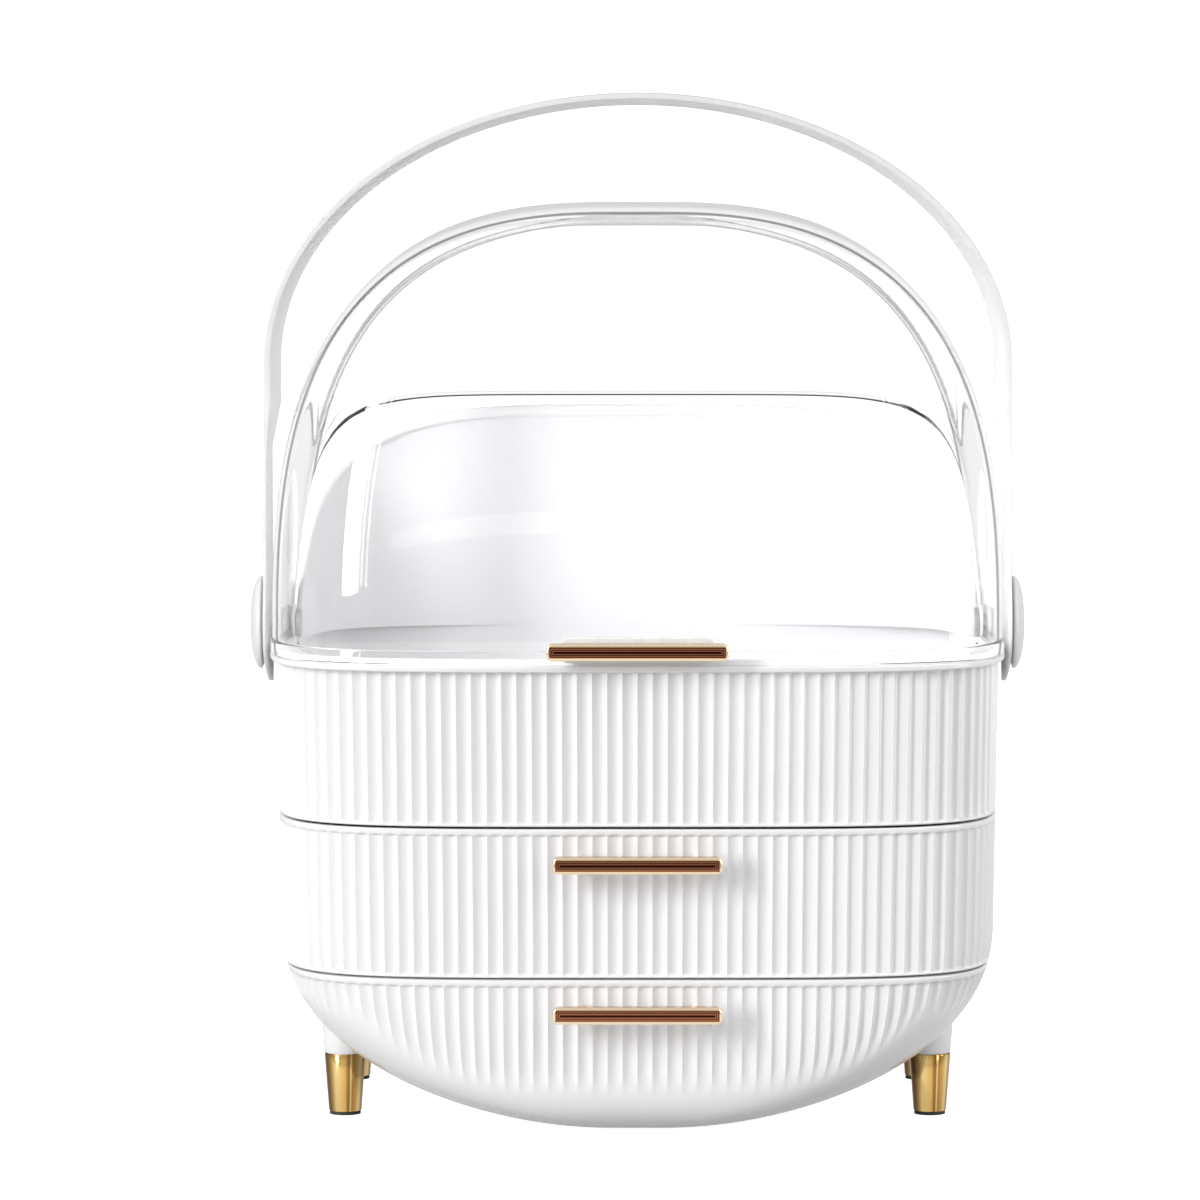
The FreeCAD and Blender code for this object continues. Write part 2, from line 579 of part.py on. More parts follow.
def make_shelf():
    """The shelf between the drawers, with side fences on top and L-shaped rails below."""
    shape = prism(HALF_WIDTH - size("shelf_side"), HALF_DEPTH - size("shelf_front"),
                  HALF_DEPTH - size("shelf_back"), SHELF_BOTTOM, SHELF_TOP)
    wall = size("rail_wall")
    fence = UPPER_TRAY_HALF + size("tray_room")
    flange = LOWER_TRAY_HALF + size("tray_flange") + size("tray_room")
    lip_top = LOWER_TRAY_TOP - size("flange_thick") - SLIP
    for _, side in SIDES:
        near, far = sorted((side * fence, side * (fence + wall)))
        shape = shape.fuse(block(near, far, -size("rail_front"), size("rail_rear"), SHELF_BOTTOM,
                                 SHELF_TOP + size("fence_height")))
        near, far = sorted((side * flange, side * (flange + wall)))
        shape = shape.fuse(block(near, far, -size("rail_front"), size("rail_rear"),
                                 lip_top - wall, SHELF_BOTTOM))
        near, far = sorted((side * (flange - size("rail_lip")), side * (flange + wall)))
        shape = shape.fuse(block(near, far, -size("rail_front"), size("rail_rear"),
                                 lip_top - wall, lip_top))
    return shape.removeSplitter()


pieces.append(publish("carcass_shell", make_carcass()))
pieces.append(publish("drawer_front_upper", front_bores(
    front_part(size("lower_seam") + SEAM_HALF, BODY_TOP), UPPER_PULL)))
pieces.append(publish("drawer_front_lower", front_bores(
    front_part(0, size("lower_seam") - SEAM_HALF), LOWER_PULL)))
pieces.append(publish("drawer_tray_upper", make_upper_tray()))
pieces.append(publish("drawer_tray_lower", make_lower_tray()))
pieces.append(publish("drawer_shelf", make_shelf()))


# ---- lid and handle ---------------------------------------------------------------------------

LID_HALF = COLLAR_HALF + size("lid_room") + size("lid_wall")
LID_DEPTH = COLLAR_DEPTH + size("lid_room") + size("lid_wall")


def make_lid():
    """The clear dome with its proud band all along the lower edge and the sloped edge."""
    wall, reach, rise = size("lid_wall"), size("flange_reach"), size("lid_rise")
    outer = dome(LID_HALF, LID_DEPTH, LID_EDGE, rise)
    inner = dome(LID_HALF - wall, LID_DEPTH - wall, LID_EDGE, rise - wall)
    proud = dome(LID_HALF + reach, LID_DEPTH + reach, LID_EDGE, rise + reach)
    keep = above_edge(0)
    band = keep.cut(above_edge(size("flange_height")))
    shape = outer.common(keep).fuse(proud.common(band)).cut(inner)
    room = size("washer_radius") + size("washer_room")
    cuts = [Part.makeCylinder(room, FAR, Vector(side * LID_HALF, 0, PIVOT),
                              Vector(side, 0, 0)) for _, side in SIDES]
    cuts.append(cross_bore(size("pin_radius") + size("pin_fit")))
    return front_bores(shape.cut(Part.makeCompound(cuts)), LID_PULL)


HANDLE_HALF = (LID_HALF + size("washer_thick") + 2 * size("seat_room")
               + size("ear_thick"))
TAPER_HIGH = size("handle_spring") - size("taper_drop")
TAPER_LOW = TAPER_HIGH - size("taper_length")


def handle_front_face():
    """The handle seen from the front: straight legs, an elliptical arch, thinner ears."""
    spring, top = size("handle_spring"), size("handle_top")
    low = PIVOT - size("ear_radius") - PAST
    inner_half = HANDLE_HALF - size("leg_thick")
    ear_half = HANDLE_HALF - size("ear_thick")
    y = -FAR / 2

    def arch(half_width, rise):
        if rise > half_width:
            raise ValueError("the arch is wider than it is high")
        ellipse = Part.Ellipse(Vector(0, y, spring), half_width, rise)
        ellipse.Axis = Vector(0, -1, 0)
        ellipse.XAxis = Vector(1, 0, 0)
        return Part.ArcOfEllipse(ellipse, 0, math.pi)

    outer = arch(HANDLE_HALF, top - spring)
    inner = arch(inner_half, top - size("grip_thick") - spring)
    edges = [outer.toShape(), inner.toShape()]
    for side in (-1, 1):
        corners = [(HANDLE_HALF, spring), (HANDLE_HALF, low), (ear_half, low),
                   (ear_half, TAPER_LOW), (inner_half, TAPER_HIGH),
                   (inner_half, spring)]
        points = [Vector(side * x, y, z) for x, z in corners]
        edges += [Part.LineSegment(a, b).toShape() for a, b in zip(points, points[1:])]
    return Part.Face(Part.Wire(Part.__sortEdges__(edges)))


def make_handle():
    """The front view extruded to the ears' width, trimmed to the side view."""
    front_view = handle_front_face().extrude(Vector(0, FAR, 0))
    radius, half = size("ear_radius"), size("handle_depth") / 2
    round_ear = Part.makeCylinder(radius, 2 * FAR, Vector(-FAR, 0, PIVOT), Vector(1, 0, 0))
    strip = block(-FAR, FAR, -half, half, PIVOT, FAR)
    neck_base, neck_half = PIVOT + size("neck_height"), size("neck_width") / 2
    neck = side_face([(-neck_half, neck_base), (neck_half, neck_base),
                      (half, TAPER_LOW), (-half, TAPER_LOW)])
    side_view = round_ear.fuse(strip).fuse(neck.extrude(Vector(2 * FAR, 0, 0)))
    shape = front_view.common(side_view)
    return shape.cut(cross_bore(size("pin_radius") + size("pin_fit"))).removeSplitter()


pieces.append(publish("lid_dome", make_lid()))
pieces.append(publish("handle_bail", make_handle()))


# ---- turned and moulded small parts ---------------------------------------------------------------

def plane_of(body, role):
    """One of a body's own origin planes."""
    return next(plane for plane in body.Origin.OriginFeatures if plane.Role == role)


def fix_point(sketch, geometry, end, across, along):
    """Ties a sketch point to two sizes, given as sheet formulas, from the sketch's origin."""
    for kind, text in (("DistanceX", across), ("DistanceY", along)):
        index = sketch.addConstraint(Sketcher.Constraint(kind, -1, 1, geometry, end, 1.0))
        sketch.setExpression(f"Constraints[{index}]", text)


def profile_body(name, profile):
    """A body turned about the X axis from a closed profile of (axial, radial) formulas."""
    body = doc.addObject("PartDesign::Body", name)
    body.Label = name
    sketch = body.newObject("Sketcher::SketchObject", name + "_profile")
    sketch.AttachmentSupport = (plane_of(body, "XY_Plane"), "")
    sketch.MapMode = "FlatFace"
    values = [(evaluate(along), evaluate(radial)) for along, radial in profile]
    count = len(profile)
    for place in range(count):
        start, end = values[place], values[(place + 1) % count]
        sketch.addGeometry(Part.LineSegment(Vector(start[0], start[1], 0),
                                            Vector(end[0], end[1], 0)), False)
    for place in range(count):
        following = (place + 1) % count
        sketch.addConstraint(Sketcher.Constraint("Coincident", place, 2, following, 1))
    for place, (along, radial) in enumerate(profile):
        fix_point(sketch, place, 1, along, radial)
    turned = body.newObject("PartDesign::Revolution", name + "_turned")
    turned.Profile = sketch
    turned.ReferenceAxis = (sketch, ["H_Axis"])
    turned.Angle = 360
    return body


def evaluate(text):
    """The value of a sheet formula, to start a sketch near its solved form."""
    return float(sheet.evalExpression(text))


def place_body(body, x_text, y_text, z_text, turn=None):
    """Moves a body to formulas for its place, with the object's common shift along Y."""
    if turn is not None:
        body.Placement = Placement(Vector(), turn)
    for axis, text in (("x", x_text), ("y", f"{y_text} + {SHIFT_TEXT}"), ("z", z_text)):
        body.setExpression(f"Placement.Base.{axis}", text)
    pieces.append(body)


TURNED_OVER = Rotation(Vector(0, 0, 1), 180)
COLLAR_FACE = "(Sizes.case_width / 2 - Sizes.collar_step)"
LID_FACE = f"({COLLAR_FACE} + Sizes.lid_room + Sizes.lid_wall)"
HANDLE_FACE = f"({LID_FACE} + Sizes.washer_thick + 2 * Sizes.seat_room + Sizes.ear_thick)"
CAP_BACK = f"({HANDLE_FACE} + Sizes.slip)"
HEAD_FACE = f"({COLLAR_FACE} - Sizes.collar_wall)"
AXIS_LINE = "0"
PIVOT_TEXT = "(Sizes.rim_height + Sizes.pivot_rise)"
WASHER_FACE = f"{LID_FACE} + Sizes.seat_room"
# Points of a cap's domed face: share of its rise, share of its radius.
CAP_FACE_POINTS = ((0.56, 0.86), (0.89, 0.5), (1.0, 0.18))

for side_name, side in SIDES:
    turn = Rotation() if side > 0 else TURNED_OVER
    pin_end = f"({CAP_BACK} + Sizes.cap_socket)"
    pin = profile_body(f"pivot_pin_{side_name}", [
        (f"{HEAD_FACE} - Sizes.pin_head", AXIS_LINE),
        (f"{HEAD_FACE} - Sizes.pin_head", "Sizes.pin_head_radius"),
        (HEAD_FACE, "Sizes.pin_head_radius"),
        (HEAD_FACE, "Sizes.pin_radius"),
        (pin_end, "Sizes.pin_radius"),
        (pin_end, AXIS_LINE)])
    place_body(pin, "0", "0", PIVOT_TEXT, turn)
    washer = profile_body(f"pivot_washer_{side_name}", [
        (WASHER_FACE, "Sizes.pin_radius + Sizes.pin_fit"),
        (WASHER_FACE, "Sizes.washer_radius"),
        (f"{WASHER_FACE} + Sizes.washer_thick", "Sizes.washer_radius"),
        (f"{WASHER_FACE} + Sizes.washer_thick", "Sizes.pin_radius + Sizes.pin_fit")])
    place_body(washer, "0", "0", PIVOT_TEXT, turn)
    cap_face = f"({CAP_BACK} + Sizes.cap_edge)"
    domed = [(f"{cap_face} + Sizes.cap_dome * {rise}", f"Sizes.cap_radius * {reach}")
             for rise, reach in CAP_FACE_POINTS]
    cap = profile_body(f"pivot_cap_{side_name}", [
        (CAP_BACK, "Sizes.pin_radius"),
        (CAP_BACK, "Sizes.cap_radius"),
        (cap_face, "Sizes.cap_radius"),
        *domed,
        (f"{cap_face} + Sizes.cap_dome", AXIS_LINE),
        (f"{CAP_BACK} + Sizes.cap_socket", AXIS_LINE),
        (f"{CAP_BACK} + Sizes.cap_socket", "Sizes.pin_radius")])
    place_body(cap, "0", "0", PIVOT_TEXT, turn)


# Limits for picking edges by direction and by place.
MOSTLY_ALONG = 0.9
SAME_PLACE = 0.01


BAR_BACK = "(Sizes.case_depth / 2 + Sizes.pull_stand - Sizes.pull_depth)"
UPPER_PULL_TEXT = "(Sizes.upper_seam - Sizes.upper_pull_drop)"
LOWER_PULL_TEXT = "(Sizes.lower_seam - Sizes.lower_pull_drop)"
LID_PULL_TEXT = "(Sizes.rim_height + Sizes.lid_pull_rise)"


def pull_bar(name, length, height, reach):
    """A bar with rounded corners and two posts that reach back to what it is screwed to."""
    body = doc.addObject("PartDesign::Body", name)
    body.Label = name
    outline_sketch = body.newObject("Sketcher::SketchObject", name + "_outline")
    outline_sketch.AttachmentSupport = (plane_of(body, "XZ_Plane"), "")
    outline_sketch.MapMode = "FlatFace"
    half_x, half_z = evaluate(length) / 2, size("pull_height") / 2
    corners = [(-half_x, -half_z), (half_x, -half_z), (half_x, half_z), (-half_x, half_z)]
    for place, corner in enumerate(corners):
        following = corners[(place + 1) % 4]
        outline_sketch.addGeometry(Part.LineSegment(Vector(corner[0], corner[1], 0),
                                                    Vector(following[0], following[1], 0)), False)
    for place in range(4):
        outline_sketch.addConstraint(Sketcher.Constraint("Coincident", place, 2,
                                                         (place + 1) % 4, 1))
    for place, (x_sign, z_sign) in enumerate(((-1, -1), (1, -1), (1, 1), (-1, 1))):
        fix_point(outline_sketch, place, 1, f"{x_sign} * {length} / 2",
                  f"{z_sign} * Sizes.pull_height / 2")
    bar = body.newObject("PartDesign::Pad", name + "_bar")
    bar.Profile = outline_sketch
    bar.setExpression("Length", "Sizes.pull_depth")
    doc.recompute()
    corners_only = [f"Edge{number}" for number, edge in enumerate(bar.Shape.Edges, 1)
                    if abs(edge.tangentAt(edge.FirstParameter).y) > MOSTLY_ALONG]
    rounded = body.newObject("PartDesign::Fillet", name + "_corners")
    rounded.Base = (bar, corners_only)
    rounded.setExpression("Radius", "Sizes.pull_corner")
    doc.recompute()
    front = min(edge.BoundBox.YMin for edge in rounded.Shape.Edges)
    face_edges = [f"Edge{number}" for number, edge in enumerate(rounded.Shape.Edges, 1)
                  if edge.BoundBox.YMax < front + SAME_PLACE]
    softened = body.newObject("PartDesign::Fillet", name + "_softened")
    softened.Base = (rounded, face_edges)
    softened.setExpression("Radius", "Sizes.pull_round")
    post_sketch = body.newObject("Sketcher::SketchObject", name + "_post_places")
    post_sketch.AttachmentSupport = (plane_of(body, "XZ_Plane"), "")
    post_sketch.MapMode = "FlatFace"
    for place, sign in enumerate((-1, 1)):
        post_sketch.addGeometry(Part.Circle(Vector(sign * size("post_spacing") / 2, 0, 0),
                                            Vector(0, 0, 1), size("post_radius")), False)
        fix_point(post_sketch, place, 3, f"{sign} * Sizes.post_spacing / 2", "0")
        radius = post_sketch.addConstraint(Sketcher.Constraint("Radius", place, 1.0))
        post_sketch.setExpression(f"Constraints[{radius}]", "Sizes.post_radius")
    posts = body.newObject("PartDesign::Pad", name + "_posts")
    posts.Profile = post_sketch
    posts.Reversed = True
    posts.setExpression("Length", reach)
    place_body(body, "0", f"(-{BAR_BACK})", height)
    return body


def wall_face_text(height):
    """Formula for the depth of the body's outer face at a height above the bowl's turn."""
    return ("(Sizes.case_depth / 2 - Sizes.side_draft * min(1; (Sizes.rim_height - "
            f"Sizes.lip_thick - {height}) / (Sizes.rim_height - Sizes.lip_thick "
            "- Sizes.bowl_top)))")


LID_FRONT = f"({LID_FACE} - Sizes.case_width / 2 + Sizes.case_depth / 2 + Sizes.flange_reach)"
PLATE_FRONT = f"({LID_FRONT} + Sizes.seat_room + Sizes.plate_thick)"

pull_bar("pull_bar_upper", "Sizes.pull_length", UPPER_PULL_TEXT,
         f"{BAR_BACK} - {wall_face_text(UPPER_PULL_TEXT)}")
pull_bar("pull_bar_lower", "Sizes.pull_length", LOWER_PULL_TEXT,
         f"{BAR_BACK} - {wall_face_text(LOWER_PULL_TEXT)}")
pull_bar("pull_bar_lid", "Sizes.lid_pull_length", LID_PULL_TEXT,
         f"{BAR_BACK} - {PLATE_FRONT}")

plate_block = doc.addObject("Part::Box", "plate_block")
plate_block.setExpression("Length", "Sizes.plate_length")
plate_block.setExpression("Width", "Sizes.plate_thick")
plate_block.setExpression("Height", "Sizes.plate_height")
plate_block.setExpression("Placement.Base.x", "-Sizes.plate_length / 2")
plate_block.setExpression("Placement.Base.z", "-Sizes.plate_height / 2")
holes = []
for side_name, side in SIDES:
    hole = doc.addObject("Part::Cylinder", f"plate_hole_{side_name}")
    hole.Placement = Placement(Vector(), Rotation(Vector(1, 0, 0), -90))
    hole.setExpression("Radius", "Sizes.screw_radius")
    hole.setExpression("Height", "Sizes.plate_thick")
    hole.setExpression("Placement.Base.x", f"{side} * Sizes.post_spacing / 2")
    holes.append(hole)
plate_holes = doc.addObject("Part::Fuse", "plate_holes")
plate_holes.Base, plate_holes.Tool = holes
plate = doc.addObject("Part::Cut", "lid_pull_plate")
plate.Label = "lid_pull_plate"
plate.Base, plate.Tool = plate_block, plate_holes
place_body(plate, "0", f"(-{PLATE_FRONT})", LID_PULL_TEXT)


# ---- feet ------------------------------------------------------------------------------------------

def foot_cylinder(name, radius, height, base):
    """A cylinder on the foot's own axis."""
    solid = doc.addObject("Part::Cylinder", name)
    solid.setExpression("Radius", radius)
    solid.setExpression("Height", height)
    solid.setExpression("Placement.Base.z", base)
    return solid


for foot, x, y in foot_places():
    x_text = f"{1 if x > 0 else -1} * (Sizes.case_width / 2 - Sizes.foot_inset)"
    y_text = "(-Sizes.foot_front)" if y < 0 else "Sizes.foot_rear"
    cone = doc.addObject("Part::Cone", f"tip_cone_{foot}")
    cone.setExpression("Radius1", "Sizes.foot_end_radius")
    cone.setExpression("Radius2", "Sizes.foot_top_radius")
    cone.setExpression("Height", "Sizes.foot_joint - Sizes.pad_thick")
    bore = foot_cylinder(f"tip_bore_{foot}", "Sizes.screw_radius", "Sizes.foot_joint", "0")
    recess = foot_cylinder(f"tip_recess_{foot}", "Sizes.screw_head + Sizes.head_room",
                           "Sizes.screw_head_thick", "0")
    drilled = doc.addObject("Part::Fuse", f"tip_holes_{foot}")
    drilled.Base, drilled.Tool = bore, recess
    tip = doc.addObject("Part::Cut", f"foot_tip_{foot}")
    tip.Label = f"foot_tip_{foot}"
    tip.Base, tip.Tool = cone, drilled
    place_body(tip, x_text, y_text, "Sizes.pad_thick")
    pad = doc.addObject("Part::Cylinder", f"foot_pad_{foot}")
    pad.Label = f"foot_pad_{foot}"
    pad.setExpression("Radius", "Sizes.foot_end_radius - Sizes.pad_inset")
    pad.setExpression("Height", "Sizes.pad_thick")
    place_body(pad, x_text, y_text, "0")


# ---- screws ------------------------------------------------------------------------------------------

def screw(foot_of_head, direction, length):
    """A screw whose head stands on a point and whose shank runs from there in a direction."""
    head = Part.makeCylinder(size("screw_head"), size("screw_head_thick"), foot_of_head,
                             direction * -1)
    return head.fuse(Part.makeCylinder(size("screw_radius"), length, foot_of_head, direction))


FORWARD, DOWNWARD, UPWARD = Vector(0, -1, 0), Vector(0, 0, -1), Vector(0, 0, 1)


def pull_screws(inner_face, height, length):
    """The two screws of a pull, from the inner face of what carries it."""
    seat = -inner_face + size("seat_room")
    return Part.makeCompound([screw(Vector(side * size("post_spacing") / 2, seat, height),
                                    FORWARD, length) for _, side in SIDES])


UPPER_TRAY_FRONT = (HALF_DEPTH - side_inset(SHELF_TOP + SLIP) - WALL
                    - size("tray_room") - size("tray_wall"))
pieces.append(publish("pull_screws_upper", pull_screws(
    UPPER_TRAY_FRONT, UPPER_PULL,
    HALF_DEPTH - side_inset(UPPER_PULL) - UPPER_TRAY_FRONT)))
LOWER_TRAY_FRONT = HALF_DEPTH - size("lower_tray_front") - size("tray_wall")
pieces.append(publish("pull_screws_lower", pull_screws(
    LOWER_TRAY_FRONT, LOWER_PULL,
    HALF_DEPTH - side_inset(LOWER_PULL) - LOWER_TRAY_FRONT)))
LID_INSIDE = LID_DEPTH - size("lid_wall")
pieces.append(publish("pull_screws_lid", pull_screws(
    LID_INSIDE, LID_PULL,
    size("flange_reach") + size("seat_room") + size("plate_thick") + size("lid_wall"))))
pieces.append(publish("bin_screws", Part.makeCompound(
    [screw(Vector(x, y, BIN_BOTTOM + size("bin_floor")), DOWNWARD, size("bin_floor") + SCREW_BITE)
     for x, y in screw_places()])))
pieces.append(publish("foot_screws", Part.makeCompound(
    [screw(Vector(x, y, size("pad_thick") + size("screw_head_thick")), UPWARD,
           size("foot_screw_length")) for _, x, y in foot_places()])))

doc.recompute()

# ---- checks and files ----------------------------------------------------------------------------------
for item in doc.Objects:
    if "Invalid" in item.State or "Error" in item.State:
        raise RuntimeError(f"{item.Name} did not compute")
for piece in pieces:
    if piece.Shape.isNull() or not piece.Shape.isValid():
        raise RuntimeError(f"{piece.Label} is not a valid solid")
    box = piece.Shape.BoundBox
    print(f"{piece.Label}: {len(piece.Shape.Solids)} solid(s), {piece.Shape.Volume:.0f} mm3, "
          f"x {box.XMin:.1f}..{box.XMax:.1f} y {box.YMin:.1f}..{box.YMax:.1f} "
          f"z {box.ZMin:.1f}..{box.ZMax:.1f}")
for piece in pieces:
    piece.Shape.exportStep(f"parts/{piece.Label}.step")
print(len(pieces), "pieces written")
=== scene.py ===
"""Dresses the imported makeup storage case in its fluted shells, clear dome, bail handle and feet.

Every length is in metres in the row's frame, but for the trays' sizes: X across, Y towards the
back, Z up. The forms are worked out about the pivot plane, which lies PLAN_SHIFT behind the
frame's own origin.
"""

import logging
import math
from dataclasses import dataclass, field
from enum import Enum

import bmesh
import bpy
import numpy as np
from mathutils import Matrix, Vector


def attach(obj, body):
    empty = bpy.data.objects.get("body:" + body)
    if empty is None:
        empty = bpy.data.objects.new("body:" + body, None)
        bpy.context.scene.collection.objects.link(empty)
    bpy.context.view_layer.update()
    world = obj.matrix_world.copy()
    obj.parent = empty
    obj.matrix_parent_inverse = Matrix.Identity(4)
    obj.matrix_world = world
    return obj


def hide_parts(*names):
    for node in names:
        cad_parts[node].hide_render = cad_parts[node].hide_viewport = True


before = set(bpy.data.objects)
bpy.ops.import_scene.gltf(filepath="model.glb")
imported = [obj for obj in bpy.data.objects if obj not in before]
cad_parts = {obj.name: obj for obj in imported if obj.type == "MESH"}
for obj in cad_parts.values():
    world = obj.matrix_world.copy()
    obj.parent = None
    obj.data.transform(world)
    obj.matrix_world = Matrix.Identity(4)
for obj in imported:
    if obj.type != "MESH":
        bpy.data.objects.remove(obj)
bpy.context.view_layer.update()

LOG = logging.getLogger("makeup_case")
MM = 0.001
ROUND = 2.0 * math.pi
PLAN_SHIFT = 5.3 * MM
PIVOT_HEIGHT = 195.2 * MM
RIM_HEIGHT = 187.5 * MM
COLLAR_BOTTOM = 178.0 * MM
DRAWER_PULL_HEIGHTS = {"upper": 111.1 * MM, "lower": 52.7 * MM}
DRAWER_PULL_LENGTH = 66.0 * MM
LID_PULL_LENGTH = 70.6 * MM
SHARP_EDGE = math.radians(38.0)
SAME_POINT = 2e-6
CORNER_STEPS = 7
Colour = tuple[float, float, float]
Bands = tuple[tuple[float, Colour], ...]
WHITE = (1.0, 1.0, 1.0, 1.0)
RIPPLE_DEPTH = 0.02 * MM
# The attribute of a metal piece that its painted reflection bands follow.
AROUND = "around"
# Painted reflections, rim to middle line of a pull: a pale highlight, dark bands, thin gold lines.
BAR_PAINTED_REFLECTIONS = (
    (0.00, (0.66, 0.50, 0.40)), (0.06, (1.0, 1.22, 1.40)), (0.34, (1.0, 1.18, 1.30)),
    (0.39, (0.50, 0.26, 0.18)), (0.44, (0.10, 0.03, 0.02)), (0.52, (0.20, 0.07, 0.05)),
    (0.58, (0.72, 0.48, 0.40)), (0.64, (0.10, 0.03, 0.02)), (0.74, (0.06, 0.02, 0.02)),
    (0.80, (0.74, 0.50, 0.44)), (0.86, (0.08, 0.02, 0.02)), (1.00, (0.04, 0.01, 0.01)),
)
# Painted reflections across a foot tip from left to right: a dark edge, a broad pale band, a thin
# one between two brown ones, another pale band and a dark edge.
FOOT_PAINTED_REFLECTIONS = (
    (0.0, (0.10, 0.07, 0.05)), (0.07, (0.16, 0.10, 0.06)), (0.16, (0.52, 0.40, 0.26)),
    (0.26, (1.0, 0.96, 0.84)), (0.40, (1.0, 0.90, 0.66)), (0.52, (0.92, 0.74, 0.44)),
    (0.60, (0.40, 0.24, 0.12)), (0.64, (0.46, 0.30, 0.16)), (0.67, (1.0, 1.0, 0.90)),
    (0.71, (0.50, 0.34, 0.18)), (0.82, (0.74, 0.56, 0.34)), (0.90, (1.0, 0.98, 0.92)),
    (0.96, (0.50, 0.38, 0.26)), (1.0, (0.12, 0.08, 0.06)),
)
# How strong a clear wall's painted dark line is, by how far its face turns from the eye.
PAINTED_EDGE_LINE = ((0.0, 0.0), (0.75, 0.0), (0.78, 1.0), (0.82, 1.0), (0.85, 0.05), (1.0, 0.35))
# Colour of the painted dark line, in place of dark refraction at grazing angles.
PAINTED_EDGE_DARK = (0.03, 0.032, 0.036, 1.0)
# What a clear wall leaves of a lamp's light.
CLEAR_SHADOW = (0.85, 0.855, 0.86, 1.0)


class Side(Enum):
    """The two sides of the case, by the sign of X."""

    LEFT = -1
    RIGHT = 1


# ---- shading ---------------------------------------------------------------------------------


@dataclass(frozen=True)
class Wiring:
    """A node tree that is being wired up."""

    tree: bpy.types.NodeTree

    def feed(self, node: bpy.types.Node, inputs: dict[str | int, object]) -> None:
        """Feeds inputs of a node.

        Args:
            node: The node.
            inputs: For each input's name or number, the socket to link to it or its value.
        """
        for key, source in inputs.items():
            if isinstance(source, bpy.types.NodeSocket):
                self.tree.links.new(source, node.inputs[key])
            else:
                node.inputs[key].default_value = source

    def add(self, kind: str, inputs: dict[str | int, object] | None = None,
            **settings: object) -> bpy.types.Node:
        """Adds a node.

        Args:
            kind: Its type.
            inputs: What feeds its inputs.
            settings: Its own properties, which are set first.

        Returns:
            The node.
        """
        node = self.tree.nodes.new(kind)
        for key, value in settings.items():
            setattr(node, key, value)
        self.feed(node, inputs or {})
        return node

    def maths(self, operation: str, *terms: object) -> bpy.types.NodeSocket:
        """The result of a math node.

        Args:
            operation: What it works out.
            terms: Sockets or numbers to work it out from.

        Returns:
            The socket with the result.
        """
        return self.add("ShaderNodeMath", dict(enumerate(terms)), operation=operation).outputs[0]

    def blended(self, factor: object, first: object, second: object, blend: str = "MIX"
                ) -> bpy.types.NodeSocket:
        """Two colours mixed.

        Args:
            factor: Share of the second.
            first: A colour or its socket.
            second: The other.
            blend: How they are mixed.

        Returns:
            The socket with the mixed colour.
        """
        node = self.add("ShaderNodeMix", data_type="RGBA", blend_type=blend)
        self.feed(node, {"Factor": factor, "A": first, "B": second})
        return node.outputs["Result"]

    def ramp(self, place: bpy.types.NodeSocket, stops: Bands) -> bpy.types.NodeSocket:
        """A colour ramp.

        Args:
            place: Where on the ramp each point of the surface lies.
            stops: Places and colours in order.

        Returns:
            The socket with the colour.
        """
        node = self.add("ShaderNodeValToRGB", {"Fac": place})
        elements = node.color_ramp.elements
        while len(elements) > 1:
            elements.remove(elements[-1])
        for k, (where, colour) in enumerate(stops):
            stop = elements.new(where) if k else elements[0]
            stop.position = where
            stop.color = (*colour, 1.0)
        return node.outputs["Color"]


def surface_group() -> bpy.types.NodeTree:
    """The shared effect of moulded and polished surfaces: faint tint, smudges and ripple.

    Returns:
        A node group that turns a base colour and a roughness into ones that vary over the
        surface, with a normal that carries a fine ripple.
    """
    name = "moulded_surface"
    if name in bpy.data.node_groups:
        return bpy.data.node_groups[name]
    group = bpy.data.node_groups.new(name, "ShaderNodeTree")
    for way, kind, labels in (
            ("INPUT", "Color", ("Base", "Shade")),
            ("INPUT", "Float", ("Tint", "Tint Scale", "Roughness", "Smudge", "Smudge Scale",
                                "Ripple", "Ripple Scale")),
            ("OUTPUT", "Color", ("Color",)),
            ("OUTPUT", "Float", ("Roughness",)),
            ("OUTPUT", "Vector", ("Normal",))):
        for label in labels:
            group.interface.new_socket(label, in_out=way, socket_type=f"NodeSocket{kind}")
    wiring = Wiring(group)
    entry = wiring.add("NodeGroupInput").outputs
    place = wiring.add("ShaderNodeTexCoord").outputs["Object"]
    tint, smudge, ripple = (
        wiring.add("ShaderNodeTexNoise", {"Vector": place, "Scale": entry[f"{label} Scale"],
                                          "Detail": detail}).outputs["Fac"]
        for label, detail in (("Tint", 3.0), ("Smudge", 5.0), ("Ripple", 1.0)))
    bump = wiring.add("ShaderNodeBump", {"Distance": RIPPLE_DEPTH, "Height": ripple,
                                         "Strength": entry["Ripple"]})
    shaded = wiring.maths("MULTIPLY", tint, entry["Tint"])
    smudged = wiring.maths("MULTIPLY", smudge, entry["Smudge"])
    wiring.add("NodeGroupOutput", {
        "Color": wiring.blended(shaded, entry["Base"], entry["Shade"]),
        "Roughness": wiring.maths("ADD", entry["Roughness"], smudged),
        "Normal": bump.outputs["Normal"]})
    return group


